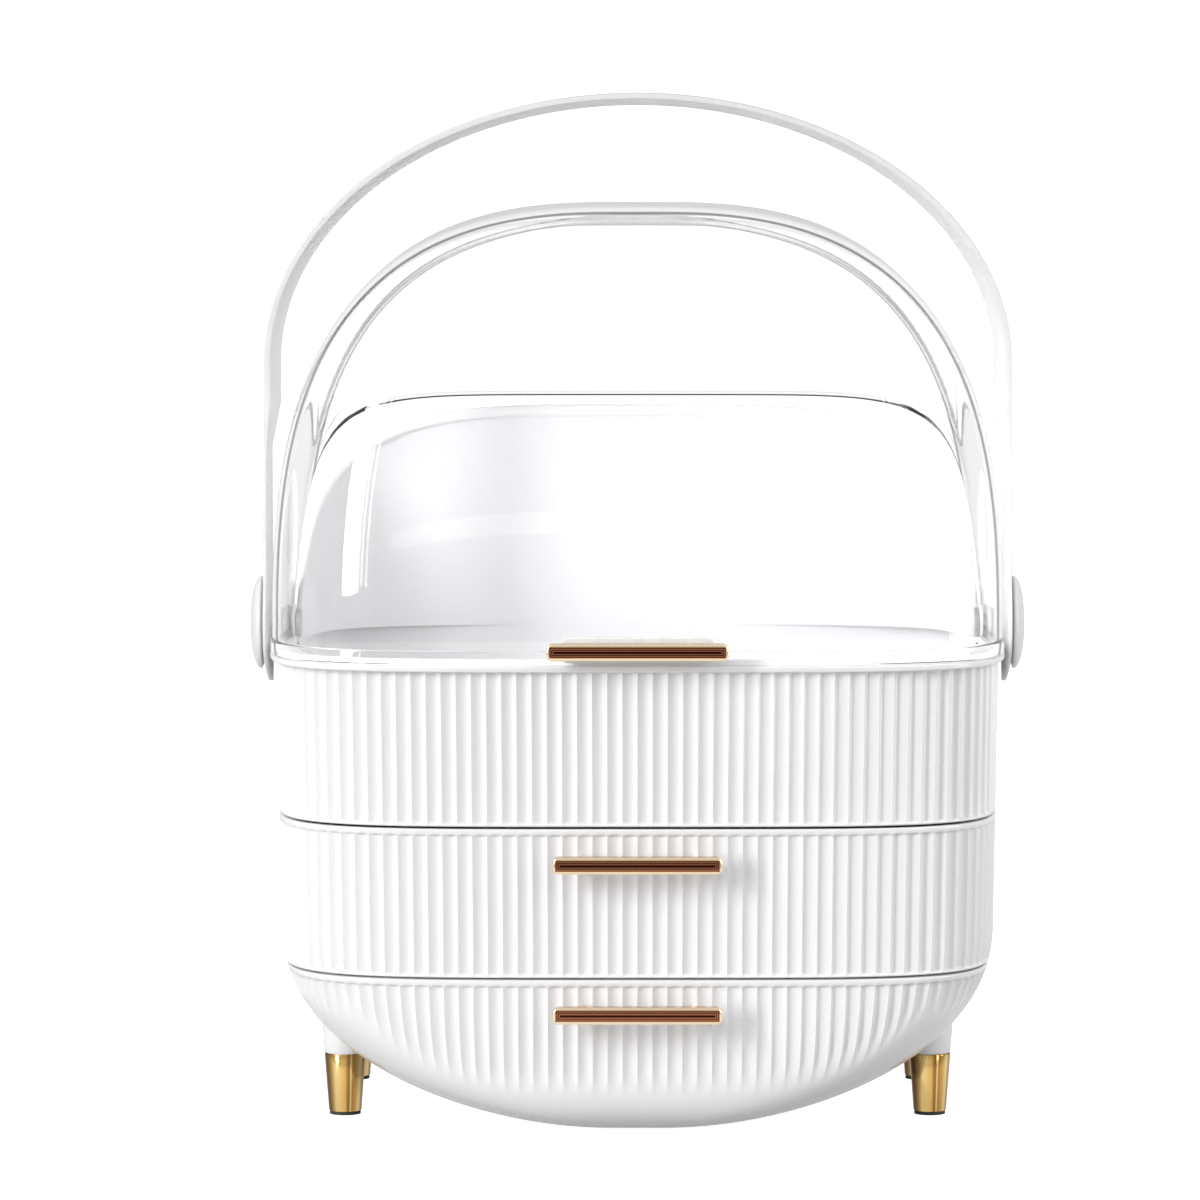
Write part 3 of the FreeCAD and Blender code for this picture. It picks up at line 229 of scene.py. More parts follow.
@dataclass(frozen=True)
class Finish:
    """One finish: a Principled shader fed by the shared surface effect."""

    name: str
    base: Colour
    shade: Colour
    slot: str
    roughness: float = 0.2
    tint: float = 0.25
    tint_scale: float = 14.0
    smudge: float = 0.05
    smudge_scale: float = 60.0
    ripple: float = 0.15
    ripple_scale: float = 900.0
    metallic: float = 0.0
    coat: float = 0.0
    coat_roughness: float = 0.05
    ior: float = 1.5
    transmission: float = 0.0
    subsurface: float = 0.0
    # Bands of painted reflection over a metal's colour, if any.
    painted_reflections: Bands = ()
    # Whether a clear wall gets painted dark lines where it is seen along its face.
    painted_edge_lines: bool = False

    def material(self) -> bpy.types.Material:
        """Builds the material once and returns it.

        Returns:
            The Blender material of this finish.
        """
        if self.name in bpy.data.materials:
            return bpy.data.materials[self.name]
        made = bpy.data.materials.new(self.name)
        made.use_nodes = True
        wiring = Wiring(made.node_tree)
        effect = wiring.add("ShaderNodeGroup", node_tree=surface_group())
        wiring.feed(effect, {
            "Base": (*self.base, 1.0), "Shade": (*self.shade, 1.0), "Tint": self.tint,
            "Tint Scale": self.tint_scale, "Roughness": self.roughness,
            "Smudge": self.smudge, "Smudge Scale": self.smudge_scale,
            "Ripple": self.ripple, "Ripple Scale": self.ripple_scale})
        colour = effect.outputs["Color"]
        # Painted reflection bands on metal.
        if self.painted_reflections:
            colour = self.with_painted_reflections(wiring, colour)
        # Painted dark lines at the grazing edges of clear walls.
        if self.painted_edge_lines:
            colour = self.with_painted_edge_lines(wiring, colour)
        shader = made.node_tree.nodes["Principled BSDF"]
        wiring.feed(shader, {
            "Base Color": colour, "Roughness": effect.outputs["Roughness"],
            "Normal": effect.outputs["Normal"], "Metallic": self.metallic,
            "Coat Weight": self.coat, "Coat Roughness": self.coat_roughness,
            "IOR": self.ior, "Transmission Weight": self.transmission,
            "Subsurface Weight": self.subsurface, "Subsurface Radius": (1.0, 0.9, 0.8),
            "Subsurface Scale": 0.6 * MM})
        if self.transmission:
            self.let_light_through(wiring)
        return made

    def with_painted_reflections(self, wiring: Wiring, plain: bpy.types.NodeSocket) -> bpy.types.NodeSocket:
        """Painted reflections: bands of paler and browner colour over a metal's own colour.

        The bands follow the x of the piece's own attribute: the direction from the axis on a
        turned piece, the way from rim to middle line on a bar.

        Args:
            wiring: The material's nodes.
            plain: The colour without the painted reflections.

        Returns:
            The colour with the painted reflection bands.
        """
        around = wiring.add("ShaderNodeAttribute", attribute_name=AROUND)
        split = wiring.add("ShaderNodeSeparateXYZ", {"Vector": around.outputs["Vector"]})
        place = wiring.add("ShaderNodeMapRange", {"Value": split.outputs["X"],
                                                  "From Min": -1.0})
        painted_reflections = wiring.ramp(place.outputs["Result"], self.painted_reflections)
        return wiring.blended(1.0, plain, painted_reflections, "MULTIPLY")

    @staticmethod
    def with_painted_edge_lines(wiring: Wiring, plain: bpy.types.NodeSocket) -> bpy.types.NodeSocket:
        """Painted dark lines where a clear wall is seen along its face.

        A line counts where a ray enters the wall and not again where it leaves it.

        Args:
            wiring: The material's nodes.
            plain: The colour without lines.

        Returns:
            The colour with the painted lines.
        """
        grazing = wiring.add("ShaderNodeLayerWeight", {"Blend": 0.5})
        line = wiring.ramp(grazing.outputs["Facing"],
                           tuple((place, (dark,) * 3) for place, dark in PAINTED_EDGE_LINE))
        side = wiring.add("ShaderNodeNewGeometry")
        outside = wiring.maths("MULTIPLY_ADD", side.outputs["Backfacing"], -1.0, 1.0)
        return wiring.blended(wiring.maths("MULTIPLY", line, outside), plain, PAINTED_EDGE_DARK)

    @staticmethod
    def let_light_through(wiring: Wiring) -> None:
        """Lets rays from lamps pass a clear wall, so that what is behind it is lit.

        Args:
            wiring: The material's nodes, whose Principled shader feeds the output.
        """
        nodes = wiring.tree.nodes
        path = wiring.add("ShaderNodeLightPath")
        clear = wiring.add("ShaderNodeBsdfTransparent", {"Color": CLEAR_SHADOW})
        mix = wiring.add("ShaderNodeMixShader", {
            "Fac": path.outputs["Is Shadow Ray"],
            1: nodes["Principled BSDF"].outputs["BSDF"],
            2: clear.outputs["BSDF"]})
        wiring.feed(nodes["Material Output"], {"Surface": mix.outputs["Shader"]})


SHELL_WHITE = Finish("shell_gloss_white", (0.89, 0.89, 0.895), (0.84, 0.845, 0.86), "shell_white",
                     roughness=0.2, coat=0.35, subsurface=0.05)
# Collar and raised back: the shell's white plastic with a darker base, painted shade inside the
# dome.
BACK_PAINTED_SHADE = Finish("back_white_painted_shade", (0.80, 0.80, 0.81), (0.75, 0.755, 0.77), "shell_white",
                    roughness=0.26, coat=0.2, subsurface=0.05)
# Handle and pivot caps: the shell's white plastic with a darker base, as painted shade.
HANDLE_PAINTED_SHADE = Finish("handle_white_painted_shade", (0.79, 0.79, 0.79), (0.74, 0.74, 0.745),
                      "handle_white", roughness=0.32, coat=0.12, subsurface=0.05)
TRAY_WHITE = Finish("tray_satin_white", (0.80, 0.80, 0.80), (0.74, 0.74, 0.745), "tray_white",
                    roughness=0.36, ripple=0.3, subsurface=0.04)
# Clear acrylic, with painted dark lines at its grazing edges.
DOME_CLEAR = Finish("dome_clear", (1.0, 1.0, 1.0), (0.985, 0.99, 0.99), "clear_acrylic",
                    roughness=0.0, tint=0.1, smudge=0.012, smudge_scale=18.0, ripple=0.04,
                    ripple_scale=30.0, ior=1.46, transmission=1.0, painted_edge_lines=True)
PLATE_WHITE = Finish("plate_white", (0.84, 0.83, 0.81), (0.78, 0.76, 0.73), "clear_plate",
                     roughness=0.25)
# Gold pulls, with painted reflection bands in their colour.
PULL_GOLD = Finish("pull_rose_gold", (0.97, 0.67, 0.42), (0.88, 0.55, 0.31), "pull_gold",
                   roughness=0.1, metallic=1.0, smudge=0.04, smudge_scale=140.0, tint=0.3,
                   painted_reflections=BAR_PAINTED_REFLECTIONS)
# Gold feet, with painted reflection bands in their colour.
FOOT_GOLD = Finish("foot_yellow_gold", (0.90, 0.70, 0.36), (0.80, 0.57, 0.25), "foot_gold",
                   roughness=0.09, metallic=1.0, smudge=0.05, smudge_scale=160.0, tint=0.35,
                   painted_reflections=FOOT_PAINTED_REFLECTIONS)
PAD_RUBBER = Finish("pad_black_rubber", (0.035, 0.033, 0.032), (0.06, 0.058, 0.055),
                    "pad_rubber", roughness=0.72, ripple=0.6, ripple_scale=2600.0, tint=0.5)
PIN_STEEL = Finish("pin_zinc_steel", (0.60, 0.60, 0.62), (0.48, 0.49, 0.52), "pin_steel",
                   roughness=0.3, metallic=1.0, smudge=0.12, smudge_scale=420.0, tint=0.5)
WASHER_NYLON = Finish("washer_nylon", (0.78, 0.78, 0.75), (0.70, 0.70, 0.66), "washer_nylon",
                      roughness=0.5, ripple=0.4, subsurface=0.08)

# The CAD nodes that stay, by their finish.
DRESSED_NODES = (
    (TRAY_WHITE, ("drawer_shelf",)),
    (PIN_STEEL, ("pivot_pin_left", "pivot_pin_right", "pull_screws_upper", "pull_screws_lower",
                 "pull_screws_lid", "bin_screws", "foot_screws")),
    (WASHER_NYLON, ("pivot_washer_left", "pivot_washer_right")),
    (PAD_RUBBER, ("foot_pad_front_left", "foot_pad_front_right", "foot_pad_rear_left",
                  "foot_pad_rear_right")),
)


# ---- meshes from grids -----------------------------------------------------------------------


def quads_of(index: np.ndarray) -> np.ndarray:
    """The four corners of each cell in a grid of point numbers."""
    corners = [index[:-1, :-1], index[:-1, 1:], index[1:, 1:], index[1:, :-1]]
    return np.stack(corners, -1).reshape(-1, 4)


def placed(name: str, data: bpy.types.ID) -> bpy.types.Object:
    """Links a new object into the scene.

    Args:
        name: Its name.
        data: Its mesh, lamp or camera.

    Returns:
        The object.
    """
    made = bpy.data.objects.new(name, data)
    bpy.context.scene.collection.objects.link(made)
    return made


def points_of(piece: bpy.types.Object) -> np.ndarray:
    """Reads the coordinates of a piece's points.

    Args:
        piece: The piece.

    Returns:
        Array with one row for each point.
    """
    place = np.empty(len(piece.data.vertices) * 3)
    piece.data.vertices.foreach_get("co", place)
    return place.reshape(-1, 3)


def write_around(piece: bpy.types.Object, values: np.ndarray) -> None:
    """Writes the attribute that a metal piece's painted reflection bands follow.

    Args:
        piece: The piece.
        values: A vector for each of its points.
    """
    layer = piece.data.attributes.new(AROUND, "FLOAT_VECTOR", "POINT")
    layer.data.foreach_set("vector", values.ravel())


@dataclass
class Patchwork:
    """Grids of points gathered into one closed mesh."""

    points: list[np.ndarray] = field(default_factory=list)
    faces: list[np.ndarray] = field(default_factory=list)
    count: int = 0

    def grid(self, points: np.ndarray, wrap_rows: bool = False, wrap_columns: bool = False
             ) -> "Patchwork":
        """Adds a grid of points as quads between each point and its neighbours.

        Args:
            points: Array of rows, columns and 3 coordinates.
            wrap_rows: Joins the last row to the first.
            wrap_columns: Joins the last column to the first.

        Returns:
            This patchwork, so that one call can follow another.
        """
        rows, columns = points.shape[:2]
        index = np.arange(rows * columns).reshape(rows, columns) + self.count
        if wrap_rows:
            index = np.vstack([index, index[:1]])
        if wrap_columns:
            index = np.hstack([index, index[:, :1]])
        self.points.append(points.reshape(-1, 3))
        self.faces.append(quads_of(index))
        self.count += rows * columns
        return self

    def end_caps(self, points: np.ndarray) -> None:
        """Closes the two side ends of a wall whose rows run up one face and down the other.

        Row i of the first half lies opposite the same row counted from the end.

        Args:
            points: The wall's points as given to grid.
        """
        half = points.shape[0] // 2
        for column in (0, -1):
            self.grid(np.stack([points[:half, column], points[half:, column][::-1]], 1))

    def finish(self, name: str, finish: Finish, body: str, nodes: tuple[str, ...],
               sharp: float = SHARP_EDGE) -> bpy.types.Object:
        """Makes the object: doubles merged, normals outwards, smooth with sharp arrises.

        Args:
            name: Name of the piece.
            finish: Its finish.
            body: The CAD body it rides on.
            nodes: The CAD nodes it stands for.
            sharp: Angle above which an edge stays sharp.

        Returns:
            The finished object.
        """
        mesh = bpy.data.meshes.new(name)
        points = np.concatenate(self.points) + (0.0, PLAN_SHIFT, 0.0)
        mesh.from_pydata(points.tolist(), [], np.concatenate(self.faces).tolist())
        work = bmesh.new()
        work.from_mesh(mesh)
        bmesh.ops.remove_doubles(work, verts=work.verts, dist=SAME_POINT)
        bmesh.ops.dissolve_degenerate(work, edges=work.edges, dist=SAME_POINT)
        bmesh.ops.recalc_face_normals(work, faces=work.faces)
        work.to_mesh(mesh)
        work.free()
        mesh.polygons.foreach_set("use_smooth", np.ones(len(mesh.polygons), bool))
        mesh.set_sharp_from_angle(angle=sharp)
        piece = placed(name, mesh)
        mesh.materials.append(finish.material())
        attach(piece, body)
        if nodes:
            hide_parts(*nodes)
        LOG.info("%s: %d faces on %s", name, len(mesh.polygons), body)
        return piece


def turned(profile: np.ndarray, centre: tuple[float, float], axis: int = 2,
           columns: int = 64) -> np.ndarray:
    """A profile turned about an axis along X, Y or Z.

    Each point (r, a) becomes the ring cx + r cos t, cy + r sin t at the place a on the axis,
    where cx and cy are the axis's place in the plane of the other two directions.

    Args:
        profile: Array of pairs, radius and place on the axis.
        centre: The axis in the plane across it.
        axis: Number of its direction.
        columns: Points round the ring.

    Returns:
        Grid of the turned surface.
    """
    turn = np.arange(columns) * ROUND / columns
    radius, place = profile[:, :1], profile[:, 1:2]
    parts = [centre[0] + radius * np.cos(turn), centre[1] + radius * np.sin(turn)]
    parts.insert(axis, np.broadcast_to(place, (len(profile), columns)))
    return np.stack(parts, -1)


def rounded_corner(start: float, end: float, depth: float, steps: int = 5) -> np.ndarray:
    """A quarter ellipse from an edge inwards, as (place, inset) pairs.

    Args:
        start: Place where the face is still full.
        end: Place of the rounded end.
        depth: Inset at the end.
        steps: Points on the curve.

    Returns:
        Pairs that follow place = start + (end - start) sin q, inset = depth (1 - cos q).
    """
    turn = np.linspace(0.0, math.pi / 2, steps)
    return np.stack([start + (end - start) * np.sin(turn), depth * (1 - np.cos(turn))], -1)


# ---- the body's form -------------------------------------------------------------------------


def share_left(level: np.ndarray, power: float) -> np.ndarray:
    """The share of a width that a superellipse leaves at a level: (1 - t^p)^(1/p)."""
    return (1.0 - level ** power) ** (1.0 / power)


def superellipse(climb: np.ndarray, power: float) -> tuple[np.ndarray, np.ndarray]:
    """A superellipse's level sin(c)^(2/p) and its share of the width |cos(c)|^(2/p)."""
    return np.sin(climb) ** (2.0 / power), np.abs(np.cos(climb)) ** (2.0 / power)


def smooth(share: np.ndarray) -> np.ndarray:
    """A smooth rise between 0 and 1: 3t^2 - 2t^3."""
    share = np.clip(share, 0.0, 1.0)
    return share * share * (3.0 - 2.0 * share)


def eased(value: np.ndarray, low: float, high: float) -> np.ndarray:
    """A smooth rise from 0 at low to 1 at high."""
    return smooth((value - low) / (high - low))


@dataclass(frozen=True)
class Plan:
    """A rounded plan: superellipses of one power in front and another behind the pivots."""

    front_power: float = 4.6
    rear_power: float = 7.0

    def unit(self, angle: np.ndarray) -> tuple[np.ndarray, np.ndarray]:
        """Points of the plan of half width 1 and half depth 1.

        With s = |sin a|, c = |cos a| and power n, the reach is (s^n + c^n)^(-1/n); x is
        reach sin a and y is minus reach cos a, so that angle 0 is the middle of the front.

        Args:
            angle: Plan angles.

        Returns:
            The x and y of each point.
        """
        across, along = np.sin(angle), np.cos(angle)
        power = np.where(along > 0, self.front_power, self.rear_power)
        reach = (np.abs(across) ** power + np.abs(along) ** power) ** (-1.0 / power)
        return reach * across, -reach * along

    def cut_angle(self, depth: np.ndarray, distance: float) -> np.ndarray:
        """The angle where the front of the plan is a given distance in front of the pivots.

        From reach cos a = distance / depth follows tan^n a = (depth / distance)^n - 1.

        Args:
            depth: Half depths of plans.
            distance: How far in front of the pivot plane the cut is.

        Returns:
            The angle for each plan.
        """
        power = self.front_power
        return np.arctan(((depth / distance) ** power - 1.0) ** (1.0 / power))


@dataclass(frozen=True)
class BodyForm:
    """The outer form of the body: leaning sides over a bowl."""

    plan: Plan = Plan()
    half_width: float = 143.3 * MM
    half_depth: float = 105.0 * MM
    draft: float = 1.6 * MM
    lip_under: float = 185.0 * MM
    turn: float = 79.0 * MM
    belly: float = 2.2 * MM
    width_power: float = 2.15
    depth_power: float = 9.0
    least_width: float = 0.2

    def level(self, height: np.ndarray) -> np.ndarray:
        """How far down the bowl a height lies: 0 at its top and over it, 1 at the belly."""
        return np.clip((self.turn - height) / (self.turn - self.belly), 0.0, 1.0)

    def section(self, height: np.ndarray, inset: np.ndarray
                ) -> tuple[np.ndarray, np.ndarray, np.ndarray]:
        """Half width, half depth and height of the form moved inwards.

        Above the turn the sides lean in evenly by the draft. Below it, at level t, the width
        has the share (1 - t^p)^(1/p) and the depth (1 - t^q)^(1/q), and the bowl's lowest
        point is raised by the inset.

        Args:
            height: Heights on the outer form.
            inset: How far each is moved inwards.

        Returns:
            Three arrays for the plans there.
        """
        lean = self.draft * np.clip((self.lip_under - height) / (self.lip_under - self.turn),
                                    0.0, 1.0)
        level = self.level(height)
        place = np.where(height >= self.turn, height,
                         self.turn - level * (self.turn - self.belly - inset))
        return ((self.half_width - lean - inset) * share_left(level, self.width_power),
                (self.half_depth - lean - inset) * share_left(level, self.depth_power), place)

    def upright(self, columns: np.ndarray, height: np.ndarray) -> np.ndarray:
        """Plan angles that keep lines upright while the bowl under them narrows.

        With w the share of the width that is left, tan b = tan a / w keeps x where the plan
        is flat and squeezes the lines together only towards the sides.

        Args:
            columns: Plan angles a at the body's top, between 0 and a whole turn or about 0.
            height: Heights, one for each row.

        Returns:
            The angle b for each row and column.
        """
        wide = np.maximum(share_left(self.level(height), self.width_power),
                          self.least_width)[:, None]
        turned_by = np.arctan2(np.sin(columns), wide * np.cos(columns))
        return turned_by + ROUND * np.round((columns - turned_by) / ROUND)


@dataclass(frozen=True)
class Fluting:
    """Upright hollow flutes round the body, meeting in sharp arrises."""

    form: BodyForm = BodyForm()
    count: int = 154
    depth: float = 1.2 * MM
    end_height: float = 17.0 * MM
    end_climb: float = 70.0 * MM
    end_most: float = 28.0 * MM
    end_fade: float = 14.0 * MM
    steps: int = 8
    table_size: int = 40001

    def lengths(self) -> tuple[np.ndarray, np.ndarray]:
        """Measures the plan's outline.

        Returns:
            Plan angles from the middle of the back one and a half times round, and the length
            of outline from the middle of the front to each.
        """
        angle = np.linspace(-math.pi, ROUND, self.table_size)
        x, y = self.form.plan.unit(angle)
        steps = np.hypot(np.diff(x * self.form.half_width), np.diff(y * self.form.half_depth))
        length = np.concatenate([[0.0], np.cumsum(steps)])
        return angle, length - np.interp(0.0, angle, length)

    def pitch(self) -> float:
        """Width of one flute along the outline."""
        angle, length = self.lengths()
        return float(np.interp(math.pi, angle, length)) * 2 / self.count

    def columns(self, start: float, end: float, closed: bool = False) -> np.ndarray:
        """Plan angles that follow the flutes, with the two ends added.

        Args:
            start: First angle.
            end: Last angle.
            closed: Leaves the end out, for an outline that closes on itself.

        Returns:
            The angles in order, an eighth of a flute apart.
        """
        angle, length = self.lengths()
        step = self.pitch() / self.steps
        first, last = np.interp([start, end], angle, length) / step
        inner = np.arange(math.floor(first) + 1, math.ceil(last)) * step
        between = np.interp(inner, length, angle)
        return np.concatenate([[start], between, [] if closed else [end]])

    def hollow(self, columns: np.ndarray) -> np.ndarray:
        """Depth of the flutes at plan angles.

        With p the share of a flute that is passed, the depth is 4 p (1 - p) of the full one,
        so that the flute is a shallow round hollow between two arrises.

        Args:
            columns: Plan angles.

        Returns:
            The depth at each angle.
        """
        angle, length = self.lengths()
        share = np.mod(np.interp(columns, angle, length) / self.pitch() + 1e-7, 1.0)
        return self.depth * 4.0 * share * (1.0 - share)

    def run_out(self, height: np.ndarray, columns: np.ndarray) -> np.ndarray:
        """Share of the depth that each flute keeps at each height of the bowl.

        The flutes end at a height that grows from the middle to the sides with the fourth
        power of the plan's x, up to a limit, and they fade in over a short way above it.

        Args:
            height: Heights, one for each row.
            columns: Plan angles of the flutes at the body's top.

        Returns:
            Array of rows and columns.
        """
        across, _ = self.form.plan.unit(columns)
        low = self.end_height + np.minimum(self.end_climb * across ** 4, self.end_most)
        return smooth((height[:, None] - low) / self.end_fade)


@dataclass
class WallRows:
    """Rows of a wall from its lower to its upper edge: height, inset, flute and width share."""

    height: np.ndarray
    inset: np.ndarray
    flute: np.ndarray
    narrow: np.ndarray

    @classmethod
    def joined(cls, *parts: np.ndarray) -> "WallRows":
        """Rows from tables of height, inset, flute share and width share."""
        table = np.concatenate(parts)
        return cls(table[:, 0], table[:, 1], table[:, 2], table[:, 3])


def rows_of(height: np.ndarray | float, inset: np.ndarray | float = 0.0,
            flute: np.ndarray | float = 0.0, narrow: np.ndarray | float = 1.0) -> np.ndarray:
    """A table of wall rows from values or arrays of one length.

    Args:
        height: Heights on the body's outer form.
        inset: How far each row is moved inwards.
        flute: Share of the flutes' depth.
        narrow: Share of the width.

    Returns:
        Array with one row of four values for each height.
    """
    height = np.atleast_1d(np.asarray(height, float))
    parts = [np.broadcast_to(np.asarray(part, float), height.shape)
             for part in (inset, flute, narrow)]
    return np.stack([height, *parts], -1)


def fluted_points(fluting: Fluting, rows: WallRows, columns: np.ndarray,
                  angles: np.ndarray | None = None) -> np.ndarray:
    """Points of a wall on the body's form, with its flutes cut in.

    Args:
        fluting: The flutes and the form they are cut in.
        rows: The wall's rows.
        columns: Plan angles that the flutes follow.
        angles: Plan angles row by row, where the wall's side ends move; else the columns.

    Returns:
        Grid of points.
    """
    if angles is None:
        angles = np.broadcast_to(columns, (len(rows.height), len(columns)))
    wide, deep, place = fluting.form.section(rows.height, rows.inset)
    cut = rows.flute[:, None] * fluting.hollow(columns)[None, :]
    cut = cut * fluting.run_out(rows.height, columns)
    x, y = fluting.form.plan.unit(angles)
    return np.stack([(wide[:, None] - cut) * x * rows.narrow[:, None],
                     (deep[:, None] - cut) * y,
                     np.broadcast_to(place[:, None], x.shape)], -1)


# ---- compartment and collar ------------------------------------------------------------------


@dataclass
class Compartment:
    """The fluted tub under the lid with its lip and floor."""

    fluting: Fluting = field(default_factory=Fluting)
    bottom: float = 124.65 * MM
    floor: float = 2.8 * MM
    lip_reach: float = 2.4 * MM
    lip_round: float = 0.7 * MM
    edge_round: float = 0.6 * MM
    mouth: float = 1.4 * MM
    wall: float = 3.7 * MM
    inmost: float = 30.0 * MM

    def make(self) -> None:
        """Builds the tub as one closed surface from under its floor to inside it."""
        under = self.fluting.form.lip_under
        low = self.bottom
        floor = low + self.floor
        edge = rounded_corner(low + self.edge_round, low, self.edge_round)[::-1]
        flutes = np.array([0.0, 0.25, 0.7, 1.4, 15.0, 30.0, 45.0, 58.9]) * MM + low + 0.7 * MM
        ends = eased(flutes, low + self.edge_round, low + 1.6 * MM)
        reach = self.lip_reach
        lip_low = rounded_corner(under + self.lip_round, under, self.lip_round)[::-1]
        lip_high = rounded_corner(RIM_HEIGHT - self.lip_round, RIM_HEIGHT, self.lip_round)
        rows = WallRows.joined(
            rows_of(low, self.inmost),
            rows_of(edge[:, 0], edge[:, 1]),
            rows_of(flutes, 0.0, ends),
            rows_of(under, 0.0, 1.0),
            rows_of(lip_low[:, 0], lip_low[:, 1] - reach),
            rows_of(lip_high[:, 0], lip_high[:, 1] - reach),
            rows_of(np.array([RIM_HEIGHT, RIM_HEIGHT - 0.4 * MM, COLLAR_BOTTOM]),
                    np.array([self.mouth - 0.4 * MM, self.mouth, self.mouth])),
            rows_of(np.array([COLLAR_BOTTOM, floor + 3 * MM, floor + 0.9 * MM, floor]),
                    np.array([1.0, 1.0, 1.25, 1.8]) * self.wall),
            rows_of(floor, self.inmost))
        columns = self.fluting.columns(0.0, ROUND, closed=True)
        points = fluted_points(self.fluting, rows, columns)
        # The first and last rows are the middle points of underside and floor.
        middle = np.zeros((1, len(columns), 3))
        points = np.concatenate([middle + (0, 0, low), points, middle + (0, 0, floor)])
        Patchwork().grid(points, wrap_columns=True).finish(
            "compartment_fluted", SHELL_WHITE, "case", ("upper_bin",))


@dataclass(frozen=True)
class SlopedEdge:
    """Where dome and raised back meet: flat in front, round under the pivots, then sloped."""

    pivot: float = PIVOT_HEIGHT
    drop: float = 7.3 * MM
    slope: float = math.radians(42.7)

    def above(self, y: np.ndarray, z: np.ndarray) -> np.ndarray:
        """Distance over the edge, in the plane across the pivots.

        The space over the edge is bounded by the lines n . p + drop = 0 whose normals turn
        from straight up to the slope's, so the distance is the least over those lines; it
        is drop minus the distance from the pivot where the nearest line touches the round.

        Args:
            y: Distances behind the pivots.
            z: Heights.

        Returns:
            Signed distances, positive above.
        """
        rise = z - self.pivot
        flat = rise + self.drop
        sloped = rise * math.cos(self.slope) - y * math.sin(self.slope) + self.drop
        angle = np.arctan2(y, -rise)
        inside = (rise < 0) & (angle > 0) & (angle < self.slope)
        return np.where(inside, self.drop - np.hypot(y, rise), np.minimum(flat, sloped))


@dataclass(frozen=True)
class DomeForm:
    """A dome whose plans shrink by one superellipse across and another from front to back."""

    half_width: float
    half_depth: float
    base: float
    rise: float
    plan: Plan = Plan()
    edge: SlopedEdge = SlopedEdge()
    width_power: float = 2.85
    depth_power: float = 4.6
    halvings: int = 44

    def point(self, angle: np.ndarray, climb: np.ndarray, offset: np.ndarray | float
              ) -> np.ndarray:
        """Points of the dome moved outwards by an offset.

        With climb c from 0 at the base to a quarter turn at the top, the level is
        t = sin(c)^(2/p), the width share cos(c)^(2/p) and the depth share (1 - t^q)^(1/q).

        Args:
            angle: Plan angles.
            climb: Climb up the meridian.
            offset: Distance outwards.

        Returns:
            Points with the arrays' common shape.
        """
        level, wide = superellipse(climb, self.width_power)
        deep = share_left(level, self.depth_power)
        x, y = self.plan.unit(angle)
        shape = np.broadcast(angle, climb).shape
        return np.stack([np.broadcast_to((self.half_width + offset) * wide * x, shape),
                         np.broadcast_to((self.half_depth + offset) * deep * y, shape),
                         np.broadcast_to(self.base + (self.rise + offset) * level, shape)], -1)

    def climb_at(self, angle: np.ndarray, gap: float, offset: float) -> np.ndarray:
        """The climb at which each meridian is a given distance over the edge.

        The distance grows along a meridian, so halving the interval finds the place.

        Args:
            angle: Plan angles.
            gap: Distance over the edge.
            offset: Distance outwards of the form.

        Returns:
            The climb for each angle.
        """
        low, high = np.zeros_like(angle), np.full_like(angle, math.pi / 2)
        for _ in range(self.halvings):
            middle = (low + high) / 2
            place = self.point(angle, middle, offset)
            under = self.edge.above(place[:, 1], place[:, 2]) < gap
            low, high = np.where(under, middle, low), np.where(under, high, middle)
        place = self.point(angle, np.zeros_like(angle), offset)
        at_base = self.edge.above(place[:, 1], place[:, 2]) >= gap - 1e-7
        return np.where(at_base, 0.0, high)

    def band(self, angle: np.ndarray, table: np.ndarray) -> np.ndarray:
        """Rows that run parallel to the edge.

        Args:
            angle: Plan angles.
            table: Pairs of distance over the edge and offset.

        Returns:
            Grid of points, one row for each pair.
        """
        return np.stack([self.point(angle, self.climb_at(angle, gap, offset), offset)
                         for gap, offset in table])

    def crown(self, angle: np.ndarray, gap: float, offset: float, rows: int) -> np.ndarray:
        """Rows from a line parallel to the edge up to the top of the dome.

        Args:
            angle: Plan angles.
            gap: Distance of the first row over the edge.
            offset: Distance outwards.
            rows: Number of rows.

        Returns:
            Grid of points.
        """
        start = self.climb_at(angle, gap, offset)
        share = np.linspace(0.0, 1.0, rows)[:, None]
        return self.point(angle[None, :], start + (math.pi / 2 - start) * share, offset)


